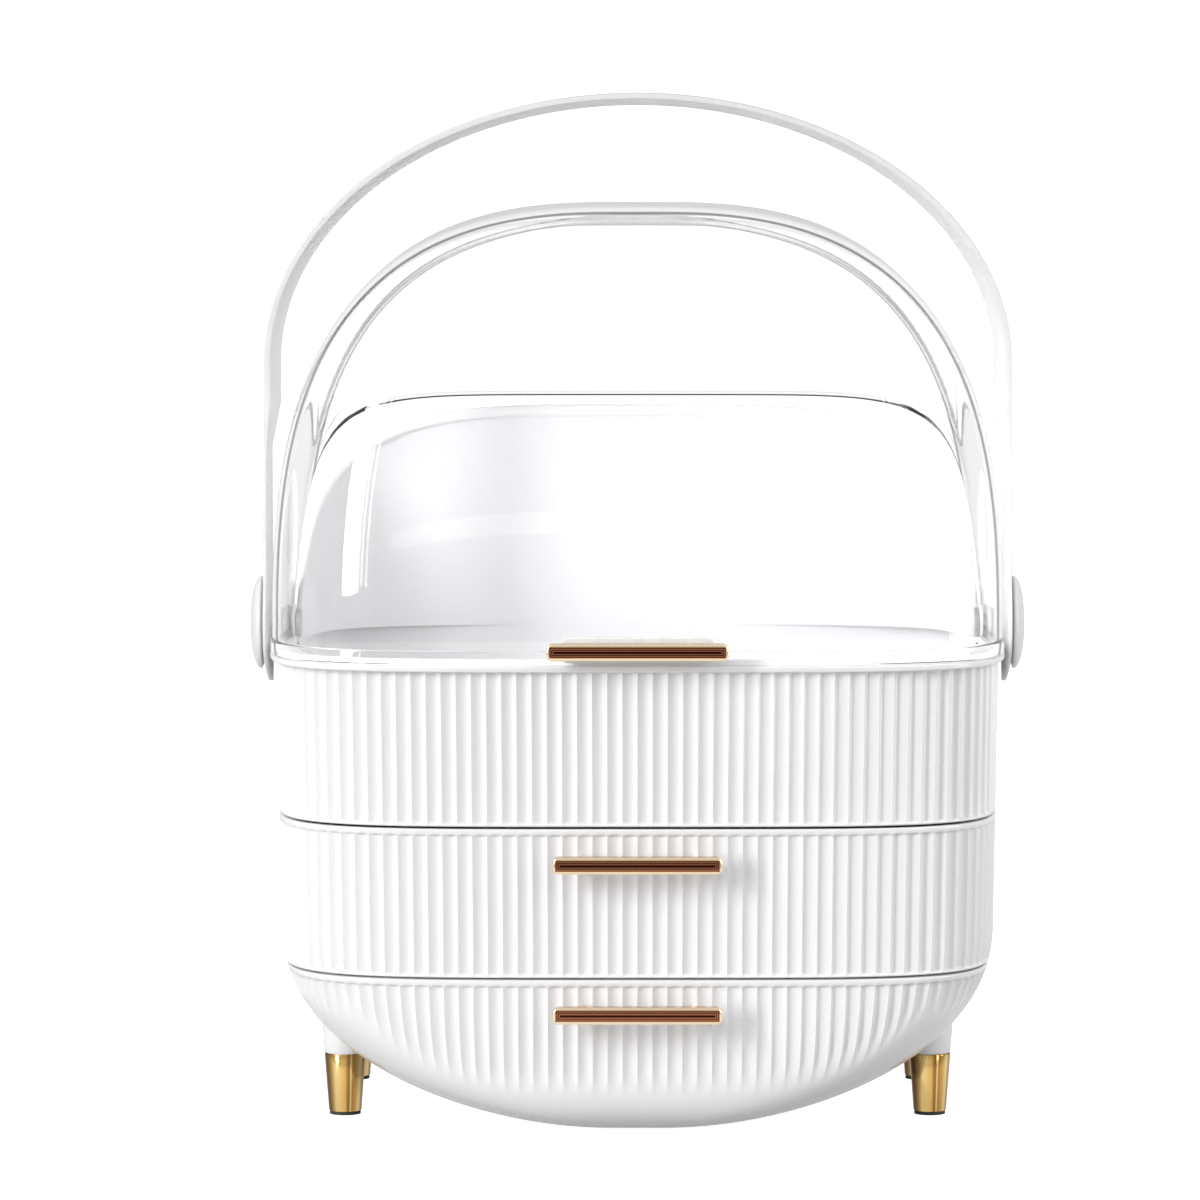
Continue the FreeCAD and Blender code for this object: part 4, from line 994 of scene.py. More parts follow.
@dataclass
class CollarAndBack:
    """The collar in the tub's mouth with its raised back, top bead and pivot ears."""

    half_width: float = 142.0 * MM
    half_depth: float = 103.7 * MM
    wall: float = 2.4 * MM
    top: float = 190.0 * MM
    rise: float = 152.0 * MM
    back_power: float = 4.2
    bead: float = 0.9 * MM
    back_start: float = 1.2 * MM
    back_inset: float = 0.15 * MM
    back_gap: float = 3.4 * MM
    bead_gap: float = 0.4 * MM
    ear_reach: float = 7.1 * MM
    columns: int = 360

    def make(self) -> None:
        """Builds ring, web, raised back and ears as one piece."""
        patch = Patchwork()
        self.add_ring(patch)
        self.add_back(patch)
        for side in Side:
            self.add_ear(patch, side)
        patch.finish("collar_and_back", BACK_PAINTED_SHADE, "case", ("rear_shield",))

    def add_ring(self, patch: Patchwork) -> None:
        """Adds the seated ring, whose front stands over the lip and whose back is webbed.

        Args:
            patch: The mesh so far.
        """
        angle = np.arange(self.columns) * ROUND / self.columns
        x, y = Plan().unit(angle)
        rounder_x, rounder_y = Plan(rear_power=self.back_power).unit(angle)
        front = eased(np.cos(angle), -0.02, 0.02)
        top = RIM_HEIGHT - 0.1 * MM + (self.top - RIM_HEIGHT) * front
        rows = []
        for height, inset in ((0.0, 0.0), (1.0, 0.0), (1.0, 0.5)):
            z = COLLAR_BOTTOM + (top - COLLAR_BOTTOM) * height
            step = self.wall * inset
            rows.append(np.stack([(self.half_width - step) * x, (self.half_depth - step) * y,
                                  z], -1))
        half_width, half_depth = self.half_width - self.wall, self.half_depth - self.wall
        under_web = np.maximum(top - self.wall, COLLAR_BOTTOM)
        bottom = np.full_like(angle, COLLAR_BOTTOM)
        for across, along, z in ((rounder_x, rounder_y, top), (rounder_x, rounder_y, under_web),
                                 (x, y, under_web), (x, y, bottom)):
            rows.append(np.stack([half_width * across, half_depth * along, z], -1))
        patch.grid(np.stack(rows), wrap_rows=True, wrap_columns=True)

    def add_back(self, patch: Patchwork) -> None:
        """Adds the raised back, its upper edge thickened to a round bead.

        Args:
            patch: The mesh so far.
        """
        form = DomeForm(self.half_width - self.back_inset, self.half_depth - self.back_inset,
                        RIM_HEIGHT - self.back_start, self.rise + self.back_start,
                        Plan(rear_power=self.back_power))
        angle = np.linspace(math.pi / 2, 3 * math.pi / 2, self.columns // 2 + 1)
        share = np.linspace(0.0, 1.0, 22)[:, None]
        outer = form.point(angle[None, :], form.climb_at(angle, -self.back_gap, 0.0) * share,
                           0.0)
        turn = np.linspace(-math.pi / 2, 1.5 * math.pi, 15)[1:-1]
        radius = self.wall / 2 + self.bead / 2
        round_top = np.stack([-self.bead_gap - radius + radius * np.sin(turn),
                              -self.wall / 2 - self.bead / 2 + radius * np.cos(turn)], -1)
        bead = form.band(angle, round_top[round_top[:, 0] > -self.bead_gap - 1.7 * radius])
        start = form.climb_at(angle, -self.back_gap, -self.wall)
        inner = form.point(angle[None, :], start * share[::-1], -self.wall)
        patch.grid(np.concatenate([outer, bead, inner]), wrap_rows=True)

    def add_ear(self, patch: Patchwork, side: Side) -> None:
        """Adds the round ear that the pivot pin passes through.

        Args:
            patch: The mesh so far.
            side: Which side.
        """
        faces = np.array([[0.4, 0.0], [0.4, 1.0], [0.55, 1.03], [1.85, 1.03], [2.0, 1.0],
                          [2.0, 0.0]])
        profile = np.stack([self.ear_reach * faces[:, 1],
                            side.value * (self.half_width - faces[:, 0] * MM)], -1)
        patch.grid(turned(profile, (0.0, PIVOT_HEIGHT), axis=0, columns=48), wrap_columns=True)


# ---- lower body and drawers ------------------------------------------------------------------


@dataclass
class LowerShell:
    """The lower body's fluted shell, from which the carcass and both drawer fronts are cut."""

    fluting: Fluting = field(default_factory=Fluting)
    wall: float = 2.5 * MM
    side_seam: float = 42.0 * MM
    seam_half: float = 0.45 * MM
    lower_seam: float = 65.0 * MM
    body_top: float = 123.75 * MM
    belly_level: float = 0.985
    plain_band: float = 2.0 * MM
    low_round: float = 0.5 * MM
    top_round: float = 0.7 * MM
    top_fall: float = 0.8 * MM
    flute_fade: float = 1.0 * MM

    def top_edge(self, high: float) -> np.ndarray:
        """Rows of a rounded upper edge."""
        upper = rounded_corner(high - self.top_fall, high, self.top_round)
        return rows_of(upper[:, 0], upper[:, 1])

    def faded(self, heights: np.ndarray, stop: float) -> np.ndarray:
        """Shares of the flutes' depth where they end below a plain band."""
        return eased(-heights, -stop, self.flute_fade - stop)

    def upper_rows(self, low: float, high: float, count: int) -> np.ndarray:
        """Rows of a straight wall with rounded ends and a plain band under its top.

        Args:
            low: Lower edge.
            high: Upper edge.
            count: Rows between the ends.

        Returns:
            Table of rows.
        """
        lower = rounded_corner(low + self.low_round, low, self.low_round)[::-1]
        stop = high - self.plain_band
        start = low + 0.6 * MM
        scoop = np.array([0.0, 0.25, 0.6, 1.0]) * MM
        span = np.linspace(start + 1.4 * MM, stop - 1.4 * MM, count)
        heights = np.concatenate([start + scoop, span, stop - scoop[::-1]])
        flute = eased(heights, start, start + self.flute_fade) * self.faded(heights, stop)
        return np.concatenate([rows_of(lower[:, 0], lower[:, 1]),
                               rows_of(heights, 0.0, flute), self.top_edge(high)])

    def bowl_rows(self, high: float) -> np.ndarray:
        """Rows of the bowl from its middle line under the belly up to an upper edge.

        Args:
            high: Upper edge.

        Returns:
            Table of rows.
        """
        form = self.fluting.form
        floor = form.turn - self.belly_level * (form.turn - form.belly)
        stop = high - self.plain_band
        level_stop = float(form.level(np.array([stop]))[0])
        climb = np.linspace(math.asin(self.belly_level ** (form.width_power / 2)),
                            math.asin(level_stop ** (form.width_power / 2)), 44)
        level, _ = superellipse(climb, form.width_power)
        heights = form.turn - level * (form.turn - form.belly)
        heights = np.sort(np.concatenate([heights, stop - np.array([1.0, 0.6, 0.25]) * MM]))
        return np.concatenate([
            rows_of(np.full(4, floor), 0.0, 0.0, np.array([0.0, 0.34, 0.67, 0.9])),
            rows_of(heights, 0.0, self.faded(heights, stop)), self.top_edge(high)])

    def closed_wall(self, table: np.ndarray) -> WallRows:
        """Joins the rows of both faces of a wall.

        Args:
            table: The outer face's rows from the lower to the upper edge.

        Returns:
            The rows up the outer face and down the inner one.
        """
        inner = table[::-1].copy()
        inner[:, 1] = np.maximum(self.wall, inner[:, 1])
        inner[:, 2] = 0.0
        return WallRows.joined(table, inner)

    def front(self, name: str, table: np.ndarray, body: str, node: str) -> None:
        """Builds a wrap-round drawer front.

        Args:
            name: Name of the piece.
            table: Its rows.
            body: The drawer's body.
            node: The CAD node it stands for.
        """
        rows = self.closed_wall(table)
        cut = self.cut_angles(rows, self.side_seam + self.seam_half)
        columns = self.fluting.columns(-cut.max(), cut.max())
        angles = self.fitted(self.fluting.form.upright(columns, rows.height), cut, 4.0)
        self.build(name, rows, columns, angles, body, node)

    def carcass(self, name: str, body: str, node: str) -> None:
        """Builds the sides and back of the lower body.

        Args:
            name: Name of the piece.
            body: The case's body.
            node: The CAD node it stands for.
        """
        # The bowl's rows end and the side's begin at the turn, with the flutes at full depth.
        turn = self.fluting.form.turn
        bowl = self.bowl_rows(turn + self.plain_band)
        bowl = bowl[bowl[:, 0] < turn - 1.0 * MM]
        bowl[:, 2] = 1.0
        side = self.upper_rows(turn - 1.5 * MM, self.body_top, 7)
        side = side[side[:, 0] >= turn - 0.5 * MM]
        side[side[:, 0] < turn + 3 * MM, 2] = 1.0
        rows = self.closed_wall(np.concatenate([bowl, side]))
        cut = self.cut_angles(rows, self.side_seam - self.seam_half)
        reference = float(cut.max())
        columns = self.fluting.columns(reference, ROUND - reference)
        turned_by = self.fluting.form.upright(columns, rows.height) - math.pi
        angles = math.pi + self.fitted(turned_by, math.pi - cut, 8.0)
        self.build(name, rows, columns, angles, body, node)

    @staticmethod
    def fitted(angles: np.ndarray, ends: np.ndarray, power: float) -> np.ndarray:
        """Moves the columns next to the side seams so that the outermost lie on them.

        Each angle moves by the seam's share times (angle / outermost angle)^power.

        Args:
            angles: Angles from the middle of the wall, row by row.
            ends: The wanted outermost angle of each row.
            power: How closely the change keeps to the seams.

        Returns:
            The moved angles.
        """
        last = angles[:, -1:]
        share = angles / last
        return angles + (ends[:, None] - last) * np.sign(share) * np.abs(share) ** power

    def cut_angles(self, rows: WallRows, distance: float) -> np.ndarray:
        """The plan angle of the side seam in each row."""
        _, deep, _ = self.fluting.form.section(rows.height, rows.inset)
        return self.fluting.form.plan.cut_angle(deep, distance)

    def build(self, name: str, rows: WallRows, columns: np.ndarray, angles: np.ndarray,
              body: str, node: str) -> None:
        """Puts a wall's grid and its side ends into a piece.

        Args:
            name: Name of the piece.
            rows: The wall's rows.
            columns: Plan angles that the flutes follow.
            angles: Plan angles row by row.
            body: The CAD body it rides on.
            node: The CAD node it stands for.
        """
        points = fluted_points(self.fluting, rows, columns, angles)
        patch = Patchwork().grid(points)
        patch.end_caps(points)
        patch.finish(name, SHELL_WHITE, body, (node,))

    def make(self) -> None:
        """Builds the carcass and both drawer fronts."""
        self.carcass("carcass_fluted", "case", "carcass_shell")
        upper = self.upper_rows(self.lower_seam + self.seam_half, self.body_top, 12)
        self.front("upper_front_fluted", upper, "drawer_upper", "drawer_front_upper")
        lower = self.bowl_rows(self.lower_seam - self.seam_half)
        self.front("lower_front_fluted", lower, "drawer_lower", "drawer_front_lower")


@dataclass(frozen=True)
class TraySize:
    """A tray's half width, its reach to front and rear, its heights and its wall, in mm."""

    half: float
    front: float
    rear: float
    bottom: float
    top: float
    wall: float = 2.0


@dataclass
class Trays:
    """The two drawers' trays behind their fronts, with sizes in mm."""

    box: TraySize = TraySize(130.0, 100.78, 91.5, 66.55, 117.5)
    tub: TraySize = TraySize(121.0, 98.0, 95.0, 9.0, 58.0)
    runner_low: tuple[float, float, float] = (119.0, -58.0, 56.0)
    runner_high: tuple[float, float, float] = (126.3, 72.0, 58.0)
    runner_soft: float = 0.3
    floor_inset: float = 60.0
    middle_row: float = 90.0
    tub_rows: int = 30
    columns: int = 200

    def rings(self, table: np.ndarray) -> np.ndarray:
        """Rings on the body's plan.

        Args:
            table: Half width, reach to the front, reach to the rear and height of each ring.

        Returns:
            Grid of points.
        """
        angle = np.arange(self.columns) * ROUND / self.columns
        x, y = Plan().unit(angle)
        front, rear = table[:, 1:2], table[:, 2:3]
        return np.stack([table[:, :1] * x, np.where(y < 0, front, rear) * y,
                         np.broadcast_to(table[:, 3:4], (len(table), self.columns))], -1)

    def upper(self) -> None:
        """A flat-bottomed box with a rounded rim and a rounded inner floor edge."""
        low, top, wall = self.box.bottom, self.box.top, self.box.wall
        # Pairs of inset and height, from under the tray over its rim to its floor.
        floor = low + wall
        steps = ((self.floor_inset, low), (1.2, low), (0.35, low + 0.35), (0.0, low + 1.2),
                 (0.0, self.middle_row), (0.0, top - 0.8), (0.25, top - 0.2), (0.8, top),
                 (wall - 0.8, top), (wall - 0.25, top - 0.2), (wall, top - 0.8),
                 (wall, floor + 4.0), (wall + 0.9, floor + 1.2), (wall + 4.0, floor),
                 (self.floor_inset, floor))
        table = np.array([[self.box.half - inset, self.box.front - inset,
                           self.box.rear - inset, height] for inset, height in steps]) * MM
        middle = np.array([[0.0, 0.0, 0.0, low], [0.0, 0.0, 0.0, floor]]) * MM
        rings = self.rings(np.concatenate([middle[:1], table, middle[1:]]))
        Patchwork().grid(rings, wrap_columns=True).finish(
            "upper_tray", TRAY_WHITE, "drawer_upper", ("drawer_tray_upper",))

    def lower(self) -> None:
        """A tub that follows the bowl, with a runner flange along each side."""
        form = BodyForm()
        tub, climb = self.tub, np.linspace(math.pi / 2, 0.0, self.tub_rows)
        level, wide = superellipse(climb, form.width_power)
        deep = share_left(level, form.depth_power)
        outer, inner = (
            np.stack([(tub.half - step) * wide, (tub.front - step) * deep,
                      (tub.rear - step) * deep,
                      tub.top - level * (tub.top - tub.bottom - step)], -1)
            for step in (0.0, tub.wall))
        patch = Patchwork()
        patch.grid(self.rings(np.concatenate([outer, inner[::-1]]) * MM), wrap_columns=True)
        for side in Side:
            patch.grid(soft_block(np.array(self.runner_low) * MM,
                                  np.array(self.runner_high) * MM,
                                  self.runner_soft * MM, side),
                       wrap_columns=True)
        patch.finish("lower_tray", TRAY_WHITE, "drawer_lower", ("drawer_tray_lower",))

    def make(self) -> None:
        """Builds both trays."""
        self.upper()
        self.lower()


def soft_block(low: np.ndarray, high: np.ndarray, soft: float, side: Side) -> np.ndarray:
    """A long block with softened edges, as rings along Y that close to points at its ends.

    Args:
        low: Lowest corner on the right side.
        high: Highest corner.
        soft: Chamfer of the edges.
        side: Side of the case; the left one is mirrored.

    Returns:
        Grid of points.
    """
    x0, x1, z0, z1 = low[0], high[0], low[2], high[2]
    ring = np.array([[x0 + soft, z0], [x1 - soft, z0], [x1, z0 + soft], [x1, z1 - soft],
                     [x1 - soft, z1], [x0 + soft, z1], [x0, z1 - soft], [x0, z0 + soft]])
    centre = ring.mean(0)
    rows = []
    for y, share in ((low[1], 0.0), (low[1], 0.9), (low[1] + soft, 1.0), (high[1] - soft, 1.0),
                     (high[1], 0.9), (high[1], 0.0)):
        place = centre + (ring - centre) * share
        rows.append(np.stack([place[:, 0] * side.value, np.full(8, y), place[:, 1]], -1))
    return np.stack(rows)


# ---- pulls -----------------------------------------------------------------------------------


def rounded_slab(length: float, height: float, corner: float, inset: np.ndarray,
                 place: np.ndarray, middle: float) -> np.ndarray:
    """A slab across Y as rings of rounded rectangles, each moved inwards by its inset.

    Each corner is a quarter circle about a point that lies the corner radius inside both
    sides.

    Args:
        length: Length along X at inset 0.
        height: Height at inset 0.
        corner: Corner radius at inset 0.
        inset: Insets, one for each ring.
        place: The rings' places along Y.
        middle: Height of the slab's middle line.

    Returns:
        Grid of points.
    """
    half_x, half_z = length / 2 - inset, height / 2 - inset
    corner = np.maximum(corner - inset, 0.0)
    turn = np.linspace(0.0, math.pi / 2, CORNER_STEPS)
    quarter = np.concatenate([turn + k * math.pi / 2 for k in range(4)])
    sign_x, sign_z = np.repeat([[1, -1, -1, 1], [1, 1, -1, -1]], CORNER_STEPS, axis=1)
    x = (half_x - corner)[:, None] * sign_x + corner[:, None] * np.cos(quarter)
    z = (half_z - corner)[:, None] * sign_z + corner[:, None] * np.sin(quarter)
    return np.stack([x, np.broadcast_to(place[:, None], x.shape), z + middle], -1)


@dataclass
class PullBar:
    """A pillow-faced bar on two posts."""

    name: str
    node: str
    body: str
    height: float
    length: float
    base: float
    face: float = 118.0 * MM
    thick: float = 4.6 * MM
    bar_height: float = 6.8 * MM
    corner: float = 2.6 * MM
    crown: float = 1.8 * MM
    crown_power: float = 4.5
    post_radius: float = 2.4 * MM
    post_spacing: float = 44.0 * MM
    post_ends: tuple[float, float] = (0.4 * MM, 0.6 * MM)

    def make(self) -> None:
        """Builds bar and posts.

        The face rises over its inset i from the rim by crown (1 - (1 - i/h)^p)^(1/p), with h
        half the bar's height, and the back is flat with softened edges. The attribute's x
        goes from -1 at the rim to 1 on the middle line.
        """
        half_z = self.bar_height / 2
        share = np.array([0.0, 0.004, 0.015, 0.035, 0.07, 0.12, 0.2, 0.3, 0.45, 0.6, 0.8, 1.0])
        rise = share_left(1.0 - share, self.crown_power) * self.crown
        back_y = -self.face + self.thick
        back = np.array([[1.0, 0.0], [0.12, 0.0], [0.035, 0.15 * MM], [0.0, 0.5 * MM]])
        inset = np.concatenate([back[:, 0], share]) * half_z
        y = np.concatenate([back_y - back[:, 1], -self.face + self.crown - rise])
        patch = Patchwork()
        patch.grid(rounded_slab(self.length, self.bar_height, self.corner, inset, y,
                                self.height), wrap_columns=True)
        into_bar, into_base = self.post_ends
        start, end = back_y - into_bar, -self.base + into_base
        post = np.array([[0.0, start], [self.post_radius, start], [self.post_radius, end],
                         [0.0, end]])
        for side in Side:
            centre = (side.value * self.post_spacing / 2, self.height)
            patch.grid(turned(post, centre, axis=1, columns=24), wrap_columns=True)
        piece = patch.finish(self.name, PULL_GOLD, self.body, (self.node,))
        place = points_of(piece)
        rim = np.minimum(self.length / 2 - np.abs(place[:, 0]),
                         half_z - np.abs(place[:, 2] - self.height))
        inwards = np.zeros_like(place)
        inwards[:, 0] = 2.0 * np.clip(rim / half_z, 0.0, 1.0) - 1.0
        write_around(piece, inwards)


@dataclass
class LidPlate:
    """The white plate between dome and lid pull."""

    length: float = 59.6 * MM
    height: float = 9.7 * MM
    middle: float = 193.8 * MM
    front: float = 109.5 * MM
    thick: float = 2.0 * MM
    corner: float = 3.0 * MM
    soft: float = 0.5 * MM

    def make(self) -> None:
        """Builds the plate as rounded rectangles with softened front edges."""
        inset = np.array([self.height / 2, 0.0, 0.0, 0.08 * MM, 0.25 * MM, self.soft,
                          self.height / 2])
        y = -self.front + np.array([self.thick, self.thick, self.soft, 0.25 * MM, 0.08 * MM,
                                    0.0, 0.0])
        slab = rounded_slab(self.length, self.height, self.corner, inset, y, self.middle)
        Patchwork().grid(slab, wrap_columns=True).finish(
            "lid_plate", PLATE_WHITE, "lid", ("lid_pull_plate",))


# ---- lid, handle, caps and feet ---------------------------------------------------------------


@dataclass
class Lid:
    """The clear dome with its proud band along the whole edge."""

    half_width: float = 145.0 * MM
    half_depth: float = 106.7 * MM
    base: float = 187.9 * MM
    rise: float = 175.0 * MM
    wall: float = 2.4 * MM
    band: float = 5.4 * MM
    reach: float = 0.7 * MM
    columns: int = 400
    crown_rows: int = 44

    def make(self) -> None:
        """Builds outer face, edge and inner face as one closed wall."""
        form = DomeForm(self.half_width, self.half_depth, self.base, self.rise)
        angle = np.arange(self.columns) * ROUND / self.columns
        reach, band = self.reach, self.band
        # Pairs of distance over the lid's lower edge and offset from the form.
        edge = np.array([[0.0, -0.2 * MM], [0.06 * MM, 0.35 * MM], [0.25 * MM, 0.62 * MM],
                         [0.6 * MM, reach], [band - 0.5 * MM, reach],
                         [band - 0.15 * MM, reach * 0.8], [band, reach * 0.3],
                         [band + 0.15 * MM, 0.0]])
        inner_edge = np.array([[0.5 * MM, -self.wall], [0.1 * MM, 0.3 * MM - self.wall],
                               [0.0, 0.7 * MM - self.wall]])
        outer = form.crown(angle, band + 0.4 * MM, 0.0, self.crown_rows)
        inner = form.crown(angle, 0.8 * MM, -self.wall, self.crown_rows)[::-1]
        patch = Patchwork()
        patch.grid(np.concatenate([form.band(angle, edge), outer]), wrap_columns=True)
        patch.grid(np.concatenate([inner, form.band(angle, inner_edge),
                                   form.band(angle, edge[:1])]), wrap_columns=True)
        patch.finish("lid_dome_clear", DOME_CLEAR, "lid", ("lid_dome",))
        LidPlate().make()


@dataclass
class Handle:
    """The bail handle: a strip with a flat outer and a crowned inner face."""

    half_width: float = 149.6 * MM
    top: float = 407.2 * MM
    spring: float = 300.0 * MM
    grip_thick: float = 5.0 * MM
    leg_thick: float = 7.0 * MM
    ear_thick: float = 3.4 * MM
    depth: float = 22.0 * MM
    ear_radius: float = 23.6 * MM
    neck_height: float = 14.6 * MM
    taper_low: float = 266.0 * MM
    taper_high: float = 284.0 * MM
    tuck: float = 1.9 * MM
    tuck_start: float = 6.0 * MM
    least_thick: float = 1.4 * MM
    edge_share: float = 0.42
    arris: float = math.radians(22.0)

    def path(self) -> tuple[np.ndarray, np.ndarray, np.ndarray]:
        """Outer and inner line seen from the front, with half the strip's depth.

        The legs are straight and the arch is an ellipse. The half depth is the ear's circle
        low down, then narrows evenly to the strip's.

        Returns:
            Outer points, inner points (both x and z) and half depths from end to end.
        """
        drop = np.linspace(0.0, math.pi / 2, 14)
        ear = PIVOT_HEIGHT - self.ear_radius * np.cos(drop)
        leg = np.concatenate([np.linspace(PIVOT_HEIGHT + 1.5 * MM, self.taper_low, 32),
                              np.linspace(self.taper_low, self.taper_high, 8)[1:],
                              np.linspace(self.taper_high, self.spring, 8)[1:]])
        height = np.concatenate([ear, leg])
        above = height - PIVOT_HEIGHT
        circle = np.sqrt(np.clip(self.ear_radius ** 2 - above ** 2, 0.0, None))
        at_neck = math.sqrt(self.ear_radius ** 2 - self.neck_height ** 2)
        narrow = np.interp(above, [self.neck_height, self.taper_low - PIVOT_HEIGHT],
                           [at_neck, self.depth / 2])
        half_leg = np.where(above < self.neck_height, circle, narrow)
        thick = np.interp(height, [self.taper_low, self.taper_high],
                          [self.ear_thick, self.leg_thick])
        # The ear's lower end curves in a little towards the body.
        low, high = PIVOT_HEIGHT - self.ear_radius, PIVOT_HEIGHT - self.tuck_start
        tuck = self.tuck * np.clip((high - height) / (high - low), 0.0, 1.0) ** 2
        outer_leg = np.stack([self.half_width - tuck, height], -1)
        inner_leg = np.stack([np.minimum(self.half_width - thick,
                                         self.half_width - tuck - self.least_thick),
                              height], -1)
        turn = np.linspace(0.0, math.pi / 2, 61)[1:]
        inner_half = self.half_width - self.leg_thick
        inner_top = self.top - self.grip_thick - self.spring
        outer_arch = np.stack([self.half_width * np.cos(turn),
                               self.spring + (self.top - self.spring) * np.sin(turn)], -1)
        inner_arch = np.stack([inner_half * np.cos(turn),
                               self.spring + inner_top * np.sin(turn)], -1)
        half_arch = np.full(len(turn), self.depth / 2)
        mirror = np.array([-1.0, 1.0])
        outer = np.concatenate([outer_leg, outer_arch])
        inner = np.concatenate([inner_leg, inner_arch])
        half = np.concatenate([half_leg, half_arch])
        return (np.concatenate([outer, outer[-2::-1] * mirror]),
                np.concatenate([inner, inner[-2::-1] * mirror]),
                np.concatenate([half, half[-2::-1]]))

    def section(self) -> np.ndarray:
        """The strip's section as pairs: place across its depth, share of its thickness.

        The outer face is nearly flat, the edges are about two fifths as thick as the middle
        and the inner face is a crown cos(b)^0.8.

        Returns:
            Array of pairs round the section.
        """
        edge = self.edge_share
        across = np.linspace(-0.93, 0.93, 13)
        outer = np.stack([across, 0.05 * np.abs(across) ** 3], -1)
        right = np.array([[0.985, 0.07], [1.0, 0.12], [1.0, edge - 0.04], [0.99, edge]])
        back = np.linspace(0.93, -0.93, 15)
        inner = np.stack([back, edge + (1.0 - edge) * np.cos(back * math.pi / 2) ** 0.8], -1)
        left = right[::-1] * (-1.0, 1.0)
        return np.concatenate([outer, right, inner, left])

    def make(self) -> None:
        """Carries the section along the path and closes both ends."""
        outer, inner, half = self.path()
        section = self.section()
        share = section[None, :, 1:2]
        line = outer[:, None, :] * (1.0 - share) + inner[:, None, :] * share
        depth = half[:, None] * section[None, :, 0]
        points = np.stack([line[..., 0], depth, line[..., 1]], -1)
        middle = points.mean(1, keepdims=True)
        first, last = (np.broadcast_to(middle[k], points[:1].shape) for k in (0, -1))
        Patchwork().grid(np.concatenate([first, points, last]), wrap_columns=True).finish(
            "bail_handle", HANDLE_PAINTED_SHADE, "handle", ("handle_bail",), self.arris)


@dataclass
class PivotCap:
    """A domed disc over the end of a pivot pin."""

    side: Side
    back: float = 149.9 * MM
    radius: float = 18.6 * MM
    edge: float = 1.3 * MM
    dome: float = 4.0 * MM
    dome_powers: tuple[float, float] = (2.6, 1.7)

    def make(self) -> None:
        """Turns the cap's profile about the pivots.

        The face rises from the edge by dome (1 - (r/R)^p)^(1/q), which is full in the middle
        and falls off towards the rim.
        """
        share = np.array([0.0, 0.15, 0.3, 0.45, 0.6, 0.72, 0.82, 0.9, 0.95, 0.98, 1.0])
        p, q = self.dome_powers
        rise = self.dome * (1.0 - share ** p) ** (1.0 / q)
        front = np.stack([share * self.radius, self.edge + rise], -1)
        rim = np.array([[self.radius, 0.9 * MM], [self.radius - 0.2 * MM, 0.65 * MM],
                        [self.radius - 1.9 * MM, 0.0], [0.0, 0.0]])
        profile = np.concatenate([front, rim])
        profile[:, 1] = self.side.value * (self.back + profile[:, 1])
        cap = turned(profile, (0.0, PIVOT_HEIGHT), axis=0, columns=96)
        name = self.side.name.lower()
        Patchwork().grid(cap, wrap_columns=True).finish(
            f"cap_{name}", HANDLE_PAINTED_SHADE, "case", (f"pivot_cap_{name}",))


@dataclass
class Feet:
    """Four feet: white stubs out of the bowl and tapered gold tips."""

    side: float = 117.0 * MM
    front: float = -25.0 * MM
    rear: float = 66.0 * MM
    joint: float = 24.6 * MM
    top_radius: float = 8.2 * MM
    end_radius: float = 6.55 * MM
    stub_radius: float = 9.4 * MM
    stub_top: float = 41.0 * MM
    low: float = 1.2 * MM
    soft: float = 0.7 * MM

    def make(self) -> None:
        """Builds a tip and a stub at each place."""
        for end, y in (("front", self.front), ("rear", self.rear)):
            for side in Side:
                where = f"{end}_{side.name.lower()}"
                centre = (side.value * self.side, y)
                self.tip(where, centre)
                self.stub(where, centre)

    def tip(self, where: str, centre: tuple[float, float]) -> None:
        """A tapered tip whose lower rim is rounded.

        Args:
            where: Which foot.
            centre: Its axis in plan.
        """
        low = rounded_corner(self.low + self.soft, self.low, self.soft)
        lower = np.stack([self.end_radius - low[:, 1], low[:, 0]], -1)
        profile = np.concatenate([
            [[0.0, self.joint - 0.02 * MM], [self.top_radius - 0.4 * MM, self.joint - 0.02 * MM],
             [self.top_radius - 0.1 * MM, self.joint - 0.12 * MM],
             [self.top_radius, self.joint - 0.45 * MM]], lower, [[0.0, self.low]]])
        piece = Patchwork().grid(turned(profile, centre), wrap_columns=True).finish(
            f"tip_{where}", FOOT_GOLD, "case", (f"foot_tip_{where}",))
        away = points_of(piece) - (*centre, 0.0) - (0.0, PLAN_SHIFT, 0.0)
        away[:, 2] = 0.0
        away /= np.maximum(np.linalg.norm(away, axis=1, keepdims=True), SAME_POINT)
        write_around(piece, away)

    def stub(self, where: str, centre: tuple[float, float]) -> None:
        """The white stub above a tip, flared a little where it enters the bowl.

        Args:
            where: Which foot.
            centre: Its axis in plan.
        """
        height = np.array([0.0, 0.0, 0.25, 0.7, 4.0, 8.0, 12.0, 16.4, 16.4]) * MM + self.joint
        foot = self.top_radius + np.array([-0.5, -0.15, 0.02]) * MM
        leg = np.interp(height[4:8], [self.joint, self.stub_top],
                        [self.top_radius, self.stub_radius])
        profile = np.stack([np.concatenate([[0.0], foot, leg, [0.0]]), height], -1)
        Patchwork().grid(turned(profile, centre), wrap_columns=True).finish(
            f"stub_{where}", SHELL_WHITE, "case", ())


# ---- stage -----------------------------------------------------------------------------------


@dataclass(frozen=True)
class SoftLight:
    """One rectangular studio light."""

    name: str
    place: tuple[float, float, float]
    size: tuple[float, float]
    power: float


